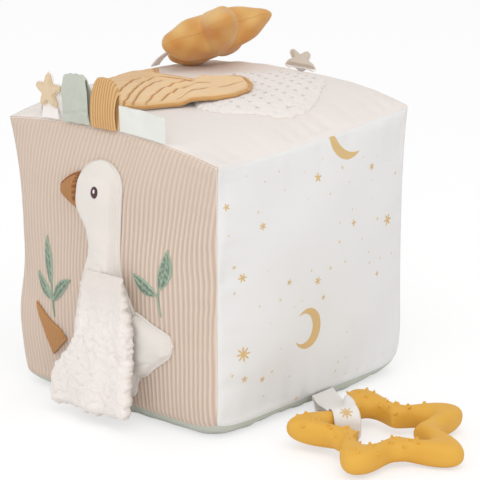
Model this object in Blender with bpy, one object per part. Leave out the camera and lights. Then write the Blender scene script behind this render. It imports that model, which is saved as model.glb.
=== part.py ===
# Soft activity block: a stuffed fabric cube of about 15 cm with a goose on its front, a wing flap and a
# quilted patch on its top, tag loops in its seams, a plush star on a ribbon and a star-shaped teether on a
# strap. Metres, +Z up. The origin is the middle of the flat base; the goose panel faces -Y and the printed
# panel faces +X.
import math

import bmesh
import bpy
import numpy as np
from mathutils import Vector

# The stuffed block
block_width = 0.150
bottom_seam_height = 0.0055
top_seam_height = 0.1515
side_crown = 0.0065
top_crown = 0.0065
base_crown = 0.0110
corner_draw = 0.0026
corner_draw_slant_share = 0.35
corner_lean = 0.0018
edge_bow = 0.0015
top_arch = 0.0050
top_rise = 0.0020
right_seam_sag = 0.0100
right_sag_power = 6
right_corner_drop = 0.0032
base_arch = 0.0010
base_corner_tuck = 0.0035
base_corner_lift = 0.0023
base_power = 8
crown_power = 2.6
edge_blend_power = 1.6
panel_thickness = 0.0016
fabric_gap = 0.0003
seam_gap = 0.0004
wadding_gap = 0.0005
panel_steps = 10
seam_crowding = 0.4

# The rattle in the middle of the wadding
rattle_radius = 0.0200
rattle_wall = 0.0015
bead_radius = 0.0040
bead_ring_radius = 0.0090
bead_count = 3
rattle_steps = 16

# The goose on the front panel
goose_height = 0.1310
goose_rows = 24
goose_columns = 8
goose_foot_height = 0.0080
goose_centre = 0.0020
goose_head_half = 0.0175
goose_plump = 0.0065
goose_hem = 0.0008
# height share, centre share and half-width share of goose_head_half, from the base to the crown
goose_shape_shares = (
    (0.00, -0.06, 0.00),
    (0.03, -0.06, 0.76),
    (0.10, -0.04, 1.16),
    (0.22, -0.02, 1.36),
    (0.34, 0.10, 1.34),
    (0.45, 0.06, 1.04),
    (0.54, 0.01, 0.76),
    (0.64, 0.04, 0.64),
    (0.72, 0.01, 0.68),
    (0.80, -0.14, 0.88),
    (0.88, -0.12, 0.91),
    (0.95, -0.06, 0.82),
    (0.985, -0.04, 0.52),
    (1.00, -0.04, 0.00),
)
tail_root = 0.0285
tail_tip = 0.0475
tail_mid_height = 0.0440
tail_half_height = 0.0195
tail_plump = 0.0050
tail_shape_shares = (
    (0.00, 0.00, 0.95),
    (0.20, 0.01, 0.85),
    (0.42, 0.05, 0.66),
    (0.65, 0.09, 0.50),
    (0.82, 0.12, 0.37),
    (0.94, 0.16, 0.22),
    (1.00, 0.18, 0.00),
)
beak_length = 0.0130
beak_half_height = 0.0105
beak_height = 0.1205
beak_plump = 0.0032
beak_shape_shares = (
    (0.0, 0.0, 1.0),
    (0.35, -0.02, 0.84),
    (0.65, -0.08, 0.56),
    (0.88, -0.14, 0.26),
    (1.0, -0.16, 0.0),
)
foot_tip_x = -0.3667 * block_width
foot_tip_height = 0.0510
foot_heel_x = -0.2367 * block_width
foot_heel_height = 0.0295
foot_half = 0.0085
foot_thickness = 0.0012
foot_shape_shares = ((0.0, 0.0, 0.0), (0.2, 0.0, 0.24), (0.5, 0.05, 0.50), (0.8, 0.10, 0.88), (1.0, 0.0, 1.0))

# The goose's loose wing, hanging in front of its body
wing_shoulder_height = 0.0820
wing_hem_height = 0.0065
# share of the way down, left edge and right edge as shares of wing_width
wing_edge_shares = (
    (0.00, -0.03, 0.40),
    (0.12, -0.06, 0.48),
    (0.33, -0.10, 0.56),
    (0.45, -0.13, 0.58),
    (0.55, -0.18, 0.58),
    (0.65, -0.28, 0.58),
    (0.75, -0.37, 0.58),
    (0.87, -0.42, 0.59),
    (1.00, -0.41, 0.59),
)
wing_width = 0.0610
wing_stand_off = 0.0076
wing_hem_flare = 0.0065
wing_fold_depth = 0.0014
wing_fold_count = 2.0
wing_face_thickness = 0.0042
lining_thickness = 0.0008
film_thickness = 0.0002
film_margin_share = 0.6
film_gap = 0.0008
wing_rows = 12
wing_columns = 14

# The wing flap on the top panel
flap_side_shares = ((-0.65, -0.12), (-0.66, 0.03), (-0.64, 0.14), (-0.61, 0.24))
flap_lead_shares = (
    (-0.20, -0.44),
    (-0.08, -0.39),
    (0.03, -0.30),
    (0.13, -0.23),
    (0.21, -0.15),
    (0.25, -0.05),
)
flap_tip_shares = (
    (0.25, -0.05),
    (0.22, 0.10),
    (0.13, 0.21),
    (0.02, 0.28),
    (-0.06, 0.28),
    (-0.11, 0.20),
    (-0.20, 0.13),
    (-0.34, 0.105),
    (-0.45, 0.10),
    (-0.52, 0.15),
    (-0.61, 0.24),
)
flap_length = 0.6667 * block_width
flap_face_thickness = 0.0014
flap_rows = 10
flap_columns = 16

# The quilted feather patch on the top panel
patch_centre_x = 0.1233 * block_width
patch_centre_y = 0.1500 * block_width
patch_half_long = 0.3200 * block_width
patch_half_short = 0.2167 * block_width
patch_turn_degrees = 123.0
patch_roundness = 3.0
patch_thickness = 0.0022
patch_rim = 0.0008
patch_clear_start_share = 1.25
patch_clear_share = 0.22
patch_rows = 5
patch_columns = 30

# The plush star on its ribbon
plush_centre = (-0.0465, 0.0550, 0.1763)
plush_tip = 0.0355
plush_notch = 0.0172
plush_half_thickness = 0.0120
plush_cover = 0.0012
plush_arm_slim_share = 0.50
plush_heading_degrees = 47.0
plush_turn_degrees = -7.5
plush_nose_up_degrees = 17.0
plush_near_up_degrees = 24.0
plush_rows = 5
plush_columns = 40
ribbon_y = 0.0385
ribbon_width = 0.0070
ribbon_star_gap = 0.0040
ribbon_thickness = 0.0010

# The tags sewn into the top seams
tag_seam_gap = 0.0008
star_tag_x = -0.0408
star_tag_height = 0.0145
star_tag_tip = 0.0098
star_tag_notch = 0.0052
star_tag_sharpness = 1.2
star_tag_felt_rim = 0.0011
star_tag_felt = 0.0010
star_tag_velour = 0.0016
rear_tag_x = -0.0024
rear_tag_height = 0.0078
rear_tag_spin_degrees = 36.0
star_tag_floor_gap = 0.0012
rear_tag_lean_degrees = 66.0
rear_tag_skew_share = -0.9
tag_stem_half = 0.0065
tag_gap_between = 0.0010
sage_loop_x = -0.0200
sage_loop_width = 0.0195
sage_loop_height = 0.0262
ochre_loop_width = 0.0180
ochre_loop_height = 0.0252
loop_ribbon = 0.0007
loop_root = 0.0006
loop_hollow = 0.0013
sage_loop_lean = -0.0010
ochre_loop_lean = 0.0030
label_width = 0.0330
label_height = 0.0135
label_thickness = 0.0008

# The teether and its strap
teether_reach = 0.0670
teether_aside = -0.0236
teether_tip = 0.0490
teether_rim_sharpness = 1.45
teether_squareness = 0.64
teether_notch = 0.0300
teether_hole_tip = 0.0272
teether_hole_notch = 0.0155
teether_thickness = 0.0132
teether_notch_thickness = 0.0116
teether_turn_degrees = 3.0
teether_tilt_degrees = 3.0
strap_crossing_degrees = 6.0
teether_columns = 80
teether_section = 10
nub_radius = 0.0013
nub_height = 0.0012
nub_sink = 0.0010
nub_ring_share = 0.5
nub_free_degrees = 30.0
nub_start_degrees = 72.0
nub_end_degrees = 290.0
nub_count = 30
nub_side_shares = (0.30, 0.70)
nub_fall_share = 0.6
strap_seam_y = 0.0040
strap_half_width = 0.0085
strap_thickness = 0.0006
strap_root_gap = 0.0008
strap_root_parting = 0.0005
strap_clearance = 0.0008
strap_roof = 0.0028
strap_floor_gap = 0.0001
strap_bight_share = 0.10

for leftover in list(bpy.data.objects):
    bpy.data.objects.remove(leftover, do_unlink=True)


def finish(name, colour, roughness, metallic=0.0):
    """A plain material of one colour for one piece."""
    material = bpy.data.materials.new(name)
    material.use_nodes = True
    shader = material.node_tree.nodes["Principled BSDF"]
    shader.inputs["Base Color"].default_value = (*colour, 1)
    shader.inputs["Roughness"].default_value = roughness
    shader.inputs["Metallic"].default_value = metallic
    return material


rib_cord = finish("beige_rib", (0.62, 0.48, 0.38), 0.9)
print_cotton = finish("printed_cotton", (0.84, 0.82, 0.79), 0.9)
cream_cotton = finish("cream_cotton", (0.80, 0.73, 0.68), 0.9)
sage_velour = finish("sage_velour", (0.50, 0.54, 0.46), 0.9)
white_velour = finish("white_velour", (0.84, 0.81, 0.77), 0.95)
boucle = finish("boucle", (0.86, 0.81, 0.76), 1.0)
ochre_cord = finish("ochre_cord", (0.70, 0.38, 0.13), 0.9)
mustard_velour = finish("mustard_velour", (0.60, 0.33, 0.09), 0.9)
cream_velour = finish("cream_velour", (0.80, 0.62, 0.38), 0.9)
felt_white = finish("white_felt", (0.86, 0.83, 0.78), 0.95)
label_white = finish("label_tape", (0.80, 0.81, 0.76), 0.8)
rubber = finish("teether_rubber", (0.68, 0.38, 0.06), 0.45)
wadding_white = finish("wadding", (0.90, 0.90, 0.88), 1.0)
film_clear = finish("crinkle_film", (0.75, 0.75, 0.72), 0.3)
capsule_white = finish("rattle_shell", (0.88, 0.88, 0.86), 0.4)


def link_mesh(name, points, faces, material):
    """Makes the object, merges points that meet at a tip and turns the faces outwards."""
    mesh = bpy.data.meshes.new(name)
    mesh.from_pydata([tuple(p) for p in points], [], faces)
    merge_distance = fabric_gap / 100
    skin = bmesh.new()
    skin.from_mesh(mesh)
    bmesh.ops.remove_doubles(skin, verts=skin.verts, dist=merge_distance)
    bmesh.ops.recalc_face_normals(skin, faces=skin.faces)
    skin.to_mesh(mesh)
    skin.free()
    mesh.shade_smooth()
    mesh.set_sharp_from_angle(angle=math.radians(40))
    mesh.materials.append(material)
    piece = bpy.data.objects.new(name, mesh)
    bpy.context.scene.collection.objects.link(piece)
    return piece


def grid_faces(rows, columns, first, wrap=False):
    """Quads over a grid of points, whose columns close into a ring where wrap is set."""
    faces = []
    for i in range(rows - 1):
        for j in range(columns if wrap else columns - 1):
            k = (j + 1) % columns
            corners = (i * columns + j, i * columns + k, (i + 1) * columns + k, (i + 1) * columns + j)
            faces.append(tuple(first + c for c in corners))
    return faces


def shell(name, outer, inner, material, wrap=False):
    """A solid between two grids of the same size, closed round their borders."""
    rows, columns = outer.shape[:2]
    count = rows * columns
    points = np.concatenate([outer.reshape(-1, 3), inner.reshape(-1, 3)])
    faces = grid_faces(rows, columns, 0, wrap)
    faces += [tuple(reversed(f)) for f in grid_faces(rows, columns, count, wrap)]
    border = [[(0, j) for j in range(columns)], [(rows - 1, j) for j in range(columns)]]
    if wrap:
        border = [line + line[:1] for line in border]
    else:
        border += [[(i, 0) for i in range(rows)], [(i, columns - 1) for i in range(rows)]]
    for line in border:
        steps = [i * columns + j for i, j in line]
        faces += [(p, q, q + count, p + count) for p, q in zip(steps, steps[1:])]
    return link_mesh(name, points, faces, material)


def cut(piece, cutter, operation="DIFFERENCE"):
    """Cuts or joins a hidden shape."""
    cutter.hide_render = True
    cutter.display_type = "WIRE"
    change = piece.modifiers.new("change", "BOOLEAN")
    change.operation = operation
    change.solver = "EXACT"
    change.object = cutter


def smooth_table(table, count):
    """Rows of a hand-made table joined by a smooth curve, read at count even steps of its first column."""
    table = np.array(table, float)
    place = np.linspace(table[0, 0], table[-1, 0], count)
    slope = np.gradient(table[:, 1:], table[:, 0], axis=0)
    span = np.clip(np.searchsorted(table[:, 0], place, side="right") - 1, 0, len(table) - 2)
    width = (table[span + 1, 0] - table[span, 0])[:, None]
    t = (place[:, None] - table[span, 0][:, None]) / width
    start, end = table[span, 1:], table[span + 1, 1:]
    value = (
        (2 * t**3 - 3 * t**2 + 1) * start
        + (t**3 - 2 * t**2 + t) * width * slope[span]
        + (3 * t**2 - 2 * t**3) * end
        + (t**3 - t**2) * width * slope[span + 1]
    )
    return place, value


# The block's skin, as one formula for all six panels
def swell(t, power=crown_power):
    """1 in the middle of a panel and 0 at its seams."""
    return 1 - np.abs(t) ** power


def block_point(a, b, c, inset=0.0):
    """The point of the block's skin at a, b, c on a cube from -1 to 1, moved inwards by inset."""
    a, b, c = np.broadcast_arrays(np.asarray(a, float), np.asarray(b, float), np.asarray(c, float))
    half = block_width / 2 - inset
    half_height = (top_seam_height - bottom_seam_height) / 2
    corner = np.abs(a * b) ** base_power
    right = np.clip(a, 0, 1)
    draw = corner_draw * (1 - corner_draw_slant_share * (a + b) / 2) * swell(c)
    tuck = base_corner_tuck * corner * np.clip(-c, 0, 1) ** base_power
    lean = corner_lean * (1 + a) / 2 * (1 + c) / 2
    x = a * (half + side_crown * swell(b) * swell(c) - draw * b**2 + edge_bow * c**2 * swell(b) - tuck) + lean
    y = b * (half + side_crown * swell(a) * swell(c) - draw * a**2 + edge_bow * c**2 * swell(a) - tuck) + lean
    along_edges = a**2 * swell(b) + b**2 * swell(a)
    sag = right_seam_sag * right**right_sag_power * swell(b) + right_corner_drop * right**2 * b**2
    top = top_crown * swell(a) * swell(b) + top_arch * along_edges + top_rise * b - sag
    base = base_crown * swell(a, base_power) * swell(b, base_power) - base_arch * along_edges
    base = base - base_corner_lift * corner * (1 + a) / 2
    upper = np.clip(c, 0, 1) ** edge_blend_power
    lower = np.clip(-c, 0, 1) ** edge_blend_power
    z = bottom_seam_height + half_height + c * (half_height - inset) + upper * top - lower * base
    return np.stack([x, y, np.maximum(z, inset)], axis=-1)


def panel_steps_shares(count):
    """Places from -1 to 1, closer together towards the seams."""
    k = np.linspace(-1, 1, count + 1)
    return k * (1 + seam_crowding * (1 - k**2))


FACES = {
    "front": lambda s, t: (s, -1.0, t),
    "right": lambda s, t: (1.0, s, t),
    "back": lambda s, t: (-s, 1.0, t),
    "left": lambda s, t: (-1.0, -s, t),
    "top": lambda s, t: (s, t, 1.0),
    "bottom": lambda s, t: (s, -t, -1.0),
}


def make_panel(side, material):
    """One fabric panel, mitred at its seams so that it clears its neighbours by a hair."""
    share = 1 - seam_gap / block_width
    s, t = np.meshgrid(panel_steps_shares(panel_steps) * share, panel_steps_shares(panel_steps) * share)
    place = FACES[side](s, t)
    shell(side + "_panel", block_point(*place), block_point(*place, panel_thickness), material)


def front_point(x, z, lift):
    """The point over the front panel at x and z, standing lift in front of it."""
    x, z = np.broadcast_arrays(x, z)
    half_height = (top_seam_height - bottom_seam_height) / 2
    a = x / (block_width / 2)
    c = (z - bottom_seam_height) / half_height - 1
    for _ in range(8):
        found = block_point(a, -1.0, c)
        a = a + (x - found[..., 0]) / (block_width / 2)
        c = c + (z - found[..., 2]) / half_height
    found = block_point(a, -1.0, c)
    return np.stack([x, found[..., 1] - lift, z], axis=-1)


def top_point(x, y, lift):
    """The point over the top panel at x and y, standing lift above it."""
    x, y = np.broadcast_arrays(x, y)
    a, b = x / (block_width / 2), y / (block_width / 2)
    for _ in range(8):
        found = block_point(a, b, 1.0)
        a = a + (x - found[..., 0]) / (block_width / 2)
        b = b + (y - found[..., 1]) / (block_width / 2)
    found = block_point(a, b, 1.0)
    return np.stack([x, y, found[..., 2] + lift], axis=-1)


# Wadding and rattle
def rattle_centre():
    return Vector((0, 0, (bottom_seam_height + top_seam_height) / 2))


def sphere(name, radius, centre, steps):
    skin = bmesh.new()
    bmesh.ops.create_uvsphere(skin, u_segments=steps, v_segments=steps // 2, radius=radius)
    bmesh.ops.translate(skin, verts=skin.verts, vec=centre)
    mesh = bpy.data.meshes.new(name)
    skin.to_mesh(mesh)
    skin.free()
    mesh.shade_smooth()
    ball = bpy.data.objects.new(name, mesh)
    bpy.context.scene.collection.objects.link(ball)
    return ball


def make_wadding_half(name, direction):
    """Half of the stuffing, a cap with four sides and a flat face with a round pocket for the rattle."""
    inset = panel_thickness + wadding_gap
    grid = panel_steps_shares(panel_steps)
    parting = fabric_gap / (top_seam_height - bottom_seam_height)
    heights = np.maximum(grid[panel_steps // 2:], parting) * direction
    points, faces = [], []

    def add(a, b, c):
        rows = block_point(a, b, c, inset)
        faces.extend(grid_faces(*rows.shape[:2], sum(len(p) for p in points)))
        points.append(rows.reshape(-1, 3))

    s, t = np.meshgrid(grid, grid)
    add(s, t, float(direction))
    add(s, t, parting * direction)
    s, c = np.meshgrid(grid, heights)
    for side in (-1.0, 1.0):
        add(s, side, c)
        add(side, s, c)
    half = link_mesh(name, np.concatenate(points), faces, wadding_white)
    cut(half, pocket)
    return half


def make_rattle_half(name, direction):
    """Half of the rattle's hollow ball."""
    turn = np.linspace(0, 2 * math.pi, rattle_steps, endpoint=False)
    rise = np.linspace(math.pi / 2, 0, rattle_steps // 4 + 1)
    up, round_axis = np.meshgrid(rise, turn, indexing="ij")

    def bowl(radius):
        x = radius * np.cos(up) * np.cos(round_axis)
        y = radius * np.cos(up) * np.sin(round_axis)
        z = direction * (radius * np.sin(up) + fabric_gap / 2)
        return np.stack([x, y, z], axis=-1) + np.array(rattle_centre())

    shell(name, bowl(rattle_radius), bowl(rattle_radius - rattle_wall), capsule_white, wrap=True)


pocket = sphere("rattle_pocket", rattle_radius + 2 * fabric_gap, rattle_centre(), rattle_steps)
make_wadding_half("wadding_lower", -1)
make_wadding_half("wadding_upper", 1)
make_rattle_half("rattle_shell_lower", -1)
make_rattle_half("rattle_shell_upper", 1)
for number in range(bead_count):
    angle = 2 * math.pi * number / bead_count
    bead_reach = rattle_radius - rattle_wall - bead_radius - fabric_gap
    bead_floor = math.sqrt(bead_reach**2 - bead_ring_radius**2)
    offset = Vector((bead_ring_radius * math.cos(angle), bead_ring_radius * math.sin(angle), -bead_floor))
    bead = sphere(f"rattle_bead_{number + 1}", bead_radius, rattle_centre() + offset, rattle_steps // 2)
    bead.data.materials.append(capsule_white)

# The six panels
make_panel("front", rib_cord)
make_panel("right", print_cotton)
make_panel("back", cream_cotton)
make_panel("left", sage_velour)
make_panel("top", cream_cotton)
make_panel("bottom", sage_velour)


# Padded pieces sewn on the front panel
def padding(across, plump):
    """How far a padded piece stands out, from its hem to its middle."""
    return goose_hem + plump * np.sqrt(np.clip(1 - across**2, 0, 1))


def goose_edge_left(z):
    """The left edge of the goose at a height."""
    table = np.array(goose_shape_shares)
    _, value = smooth_table(goose_shape_shares, 200)
    heights = goose_foot_height + goose_height * np.linspace(table[0, 0], table[-1, 0], 200)
    edge = goose_centre + goose_head_half * (value[:, 0] - value[:, 1])
    return np.interp(z, heights, edge)


def make_goose():
    place, value = smooth_table(goose_shape_shares, goose_rows)
    across = np.linspace(-1, 1, goose_columns + 1)
    z = (goose_foot_height + goose_height * place)[:, None] + 0 * across
    x = goose_centre + goose_head_half * (value[:, :1] + np.maximum(value[:, 1:2], 0) * across)
    fullness = np.sqrt(np.clip(value[:, 1:2], 0, 1))
    back = front_point(x, z, fabric_gap)
    front = front_point(x, z, fabric_gap + padding(across, goose_plump) * fullness)
    shell("goose_body", front, back, white_velour)


def make_side_piece(name, shape_shares, start, end, mid_height, half_height, plump, material, edge=None):
    """A padded piece that runs sideways from the goose: its tail or its beak."""
    rows, columns = 9, 6
    place, value = smooth_table(shape_shares, rows)
    across = np.linspace(-1, 1, columns + 1)
    z = mid_height + half_height * (value[:, :1] + np.maximum(value[:, 1:2], 0) * across)
    first = start if edge is None else edge(z) + start
    last = end if edge is None else edge(mid_height) + end
    x = first + (last - first) * place[:, None]
    fullness = np.sqrt(np.clip(value[:, 1:2], 0, 1))
    back = front_point(x, z, fabric_gap)
    front = front_point(x, z, fabric_gap + padding(across, plump) * fullness)
    shell(name, front, back, material)


def make_foot():
    rows, columns = 7, 4
    place, value = smooth_table(foot_shape_shares, rows)
    across = np.linspace(-1, 1, columns + 1)
    run = np.array([foot_heel_x - foot_tip_x, foot_heel_height - foot_tip_height])
    side = np.array([-run[1], run[0]]) / np.linalg.norm(run)
    offset = foot_half * (value[:, :1] + np.maximum(value[:, 1:2], 0) * across)
    x = foot_tip_x + run[0] * place[:, None] + side[0] * offset
    z = foot_tip_height + run[1] * place[:, None] + side[1] * offset
    back, front = front_point(x, z, fabric_gap), front_point(x, z, fabric_gap + foot_thickness)
    shell("goose_foot", front, back, ochre_cord)


make_goose()
make_side_piece(
    "goose_tail",
    tail_shape_shares,
    tail_root,
    tail_tip,
    tail_mid_height,
    tail_half_height,
    tail_plump,
    white_velour,
)
make_side_piece(
    "goose_beak",
    beak_shape_shares,
    -2 * fabric_gap,
    -beak_length,
    beak_height,
    beak_half_height,
    beak_plump,
    ochre_cord,
    goose_edge_left,
)
make_foot()


# The goose's loose wing: lining, crinkle film and face, hung from the shoulder
def draw_in(points):
    """The same sheet a little smaller: its border rows slide inwards over the first cells."""
    points = points.copy()
    points[0] += film_margin_share * (points[1] - points[0])
    points[-1] += film_margin_share * (points[-2] - points[-1])
    points[:, 0] += film_margin_share * (points[:, 1] - points[:, 0])
    points[:, -1] += film_margin_share * (points[:, -2] - points[:, -1])
    return points


def wing_point(down, across, lift):
    """A point of the hanging wing: down is 0 at the shoulder and 1 at the hem, across runs from -1 to 1."""
    length = wing_shoulder_height - wing_hem_height
    place, edges = smooth_table(wing_edge_shares, 60)
    left, right = (wing_width * np.interp(down, place, edges[:, k]) for k in (0, 1))
    corner_rise = wing_hem_flare * down**4 * across**4
    x = (left + right) / 2 + (right - left) / 2 * across
    z = wing_shoulder_height - length * down + corner_rise
    fold = wing_fold_depth * down * np.cos(math.pi * wing_fold_count * across)
    stand_off = wing_stand_off + wing_fold_depth * down + wing_hem_flare * down**2 + fold
    return front_point(x, z, stand_off + lift)


def make_goose_wing():
    steps = np.linspace(0, 1, wing_rows + 1), np.linspace(-1, 1, wing_columns + 1)
    down, across = np.meshgrid(*steps, indexing="ij")
    plump = wing_face_thickness * np.sqrt(np.clip(1 - 0.75 * across**6, 0, 1))
    film_lift = lining_thickness + film_gap
    face_lift = film_lift + film_thickness + film_gap
    film_near = draw_in(wing_point(down, across, film_lift))
    film_far = draw_in(wing_point(down, across, film_lift + film_thickness))
    lining_near, lining_far = wing_point(down, across, 0.0), wing_point(down, across, lining_thickness)
    shell("goose_wing_lining", lining_far, lining_near, white_velour)
    shell("goose_wing_film", film_far, film_near, film_clear)
    face_near, face_far = wing_point(down, across, face_lift), wing_point(down, across, face_lift + plump)
    shell("goose_wing_face", face_far, face_near, boucle)


make_goose_wing()


# The patch and the wing flap on the top panel
def patch_axes():
    turn = math.radians(patch_turn_degrees)
    return np.array([math.cos(turn), math.sin(turn)]), np.array([-math.sin(turn), math.cos(turn)])


def patch_radius(x, y):
    """1 on the patch's rim and less inside it."""
    long_way, short_way = patch_axes()
    dx, dy = x - patch_centre_x, y - patch_centre_y
    p = np.abs((dx * long_way[0] + dy * long_way[1]) / patch_half_long)
    q = np.abs((dx * short_way[0] + dy * short_way[1]) / patch_half_short)
    return (p**patch_roundness + q**patch_roundness) ** (1 / patch_roundness)


def make_patch():
    """A thin quilted oval, thickest in its middle."""
    out, turn = np.meshgrid(
        np.linspace(0, 1, patch_rows + 1),
        np.linspace(0, 2 * math.pi, patch_columns, endpoint=False),
        indexing="ij",
    )
    long_way, short_way = patch_axes()
    sum_of_powers = np.abs(np.cos(turn)) ** patch_roundness + np.abs(np.sin(turn)) ** patch_roundness
    rounding = sum_of_powers ** (-1 / patch_roundness)
    p = patch_half_long * out * np.cos(turn) * rounding
    q = patch_half_short * out * np.sin(turn) * rounding
    x = patch_centre_x + p * long_way[0] + q * short_way[0]
    y = patch_centre_y + p * long_way[1] + q * short_way[1]
    height = patch_rim + (patch_thickness - patch_rim) * np.clip(1 - out**4, 0, 1)
    upper, lower = top_point(x, y, fabric_gap + height), top_point(x, y, fabric_gap)
    shell("feather_patch", upper, lower, cream_velour, wrap=True)


def over_patch(x, y):
    """The height to clear over the top panel: nothing away from the patch and its thickness over it."""
    near = np.clip((patch_clear_start_share - patch_radius(x, y)) / patch_clear_share, 0, 1)
    return (patch_thickness + fabric_gap) * near**2 * (3 - 2 * near)


def read_curve(shares, steps):
    """Points along a hand-drawn line of the flap, at steps from 0 at its first point to 1 at its last."""
    line = np.array(shares) * flap_length
    length = np.concatenate([[0.0], np.cumsum(np.linalg.norm(np.diff(line, axis=0), axis=1))])
    place = steps * length[-1]
    return np.stack([np.interp(place, length, line[:, k]) for k in range(2)], axis=-1)


def flap_point(across, along, lift):
    """A point of the flap: across is 0 at its leading edge, along runs from the root to the tips."""
    u, v = across[..., None], along[..., None]
    root = read_curve((flap_lead_shares[0], flap_side_shares[0]), across)
    tips = read_curve(flap_tip_shares, across)
    lead, side = read_curve(flap_lead_shares, along), read_curve(flap_side_shares, along)
    ends = flap_lead_shares[0], flap_side_shares[0], flap_tip_shares[0], flap_tip_shares[-1]
    near_root, far_root, near_tip, far_tip = (np.array(end) * flap_length for end in ends)
    corners = (1 - v) * ((1 - u) * near_root + u * far_root) + v * ((1 - u) * near_tip + u * far_tip)
    spot = (1 - v) * root + v * tips + (1 - u) * lead + u * side - corners
    return top_point(spot[..., 0], spot[..., 1], fabric_gap + over_patch(spot[..., 0], spot[..., 1]) + lift)


def make_flap():
    steps = np.linspace(0, 1, flap_columns + 1), np.linspace(0, 1, flap_rows + 1)
    across, along = np.meshgrid(*steps, indexing="ij")
    film_lift = lining_thickness + film_gap
    face_lift = film_lift + film_thickness + film_gap
    layers = (
        ("wing_flap_lining", 0.0, lining_thickness, cream_cotton),
        ("wing_flap_film", film_lift, film_thickness, film_clear),
        ("wing_flap_face", face_lift, flap_face_thickness, ochre_cord),
    )
    for name, lift, thickness, material in layers:
        near, far = flap_point(across, along, lift), flap_point(across, along, lift + thickness)
        if material is film_clear:
            near, far = draw_in(near), draw_in(far)
        shell(name, far, near, material)


make_patch()
make_flap()


# Stars: an outline whose radius swings between tip and notch
def star_radius(turn, tip, notch, sharpness=1.0):
    return notch + (tip - notch) * ((1 + np.cos(5 * turn)) / 2) ** sharpness


# The plush star lies on the block's top, with its right arm in the air
def plush_frame():
    """The star's own axes: right arm, away from the viewer, and up through it."""
    heading = math.radians(plush_turn_degrees)
    facing = math.radians(plush_heading_degrees)
    right = np.array([math.cos(facing), math.sin(facing), 0.0])
    away = np.array([-right[1], right[0], 0.0])
    up = np.array([0.0, 0.0, 1.0])
    near_up = math.radians(plush_near_up_degrees)
    nose_up = math.radians(plush_nose_up_degrees)
    level, upright = away, up
    away = level * math.cos(near_up) - upright * math.sin(near_up)
    up = upright * math.cos(near_up) + level * math.sin(near_up)
    level, upright = right, up
    right = level * math.cos(nose_up) + upright * math.sin(nose_up)
    up = upright * math.cos(nose_up) - level * math.sin(nose_up)
    return (
        right * math.cos(heading) + away * math.sin(heading),
        away * math.cos(heading) - right * math.sin(heading),
        up,
    )


def plush_grid(inset, direction):
    """Half of the star's skin, from its middle to its rim, moved inwards by inset."""
    out, turn = np.meshgrid(
        np.linspace(0, 1, plush_rows + 1),
        np.linspace(0, 2 * math.pi, plush_columns, endpoint=False),
        indexing="ij",
    )
    out = out * (1.5 - 0.5 * out**2)
    radius = (star_radius(turn, plush_tip, plush_notch) - inset) * out
    slim = 1 - plush_arm_slim_share * (1 + np.cos(5 * turn)) / 2 * out**2
    height = (plush_half_thickness - inset) * np.clip(1 - out**2.4, 0, 1) ** 0.6 * slim + fabric_gap / 2
    right, away, up = plush_frame()
    spread = radius[..., None]
    return (
        np.array(plush_centre)
        + spread * (np.cos(turn)[..., None] * right + np.sin(turn)[..., None] * away)
        + direction * height[..., None] * up
    )


def make_plush_star():
    shell("plush_star_upper", plush_grid(0.0, 1), plush_grid(plush_cover, 1), mustard_velour, wrap=True)
    shell("plush_star_lower", plush_grid(0.0, -1), plush_grid(plush_cover, -1), mustard_velour, wrap=True)
    core = plush_cover + fabric_gap
    shell("plush_star_wadding", plush_grid(core, 1), plush_grid(core, -1), wadding_white, wrap=True)


make_plush_star()


def left_seam(y):
    """The seam between the left and top panels at y."""
    b = y / (block_width / 2)
    return block_point(-1.0, b, 1.0)


def make_plush_ribbon():
    """A short flat ribbon from the left top seam up to the star's nearest side."""
    start = left_seam(ribbon_y) + np.array([-3 * fabric_gap, 0.0, 2 * fabric_gap])
    right, away, up = plush_frame()
    notch_turn = math.radians(180)
    reach = plush_notch + ribbon_star_gap
    end = np.array(plush_centre) + reach * (math.cos(notch_turn) * right + math.sin(notch_turn) * away)
    t = np.linspace(0, 1, 7)[:, None]
    bow = np.array([-ribbon_width / 3, 0.0, 0.0]) * np.sin(math.pi * t)
    line = start + (end - start) * t + bow
    run = np.gradient(line, axis=0)
    width_way = np.array([0.0, 1.0, 0.0]) * (1 - t) + away * t
    width_way /= np.linalg.norm(width_way, axis=1)[:, None]
    side = np.cross(run, width_way)
    side /= np.linalg.norm(side, axis=1)[:, None]
    width = width_way * ribbon_width / 2
    edges = np.stack([line - width, line + width], axis=1)
    half = side[:, None, :] * ribbon_thickness / 2
    shell("plush_star_ribbon", edges + half, edges - half, felt_white)


make_plush_ribbon()


# The tags in the top seams
def front_seam(x):
    """The seam between the front and top panels at x."""
    return block_point(x / (block_width / 2), -1.0, 1.0)


def back_seam(x):
    return block_point(x / (block_width / 2), 1.0, 1.0)


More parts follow.
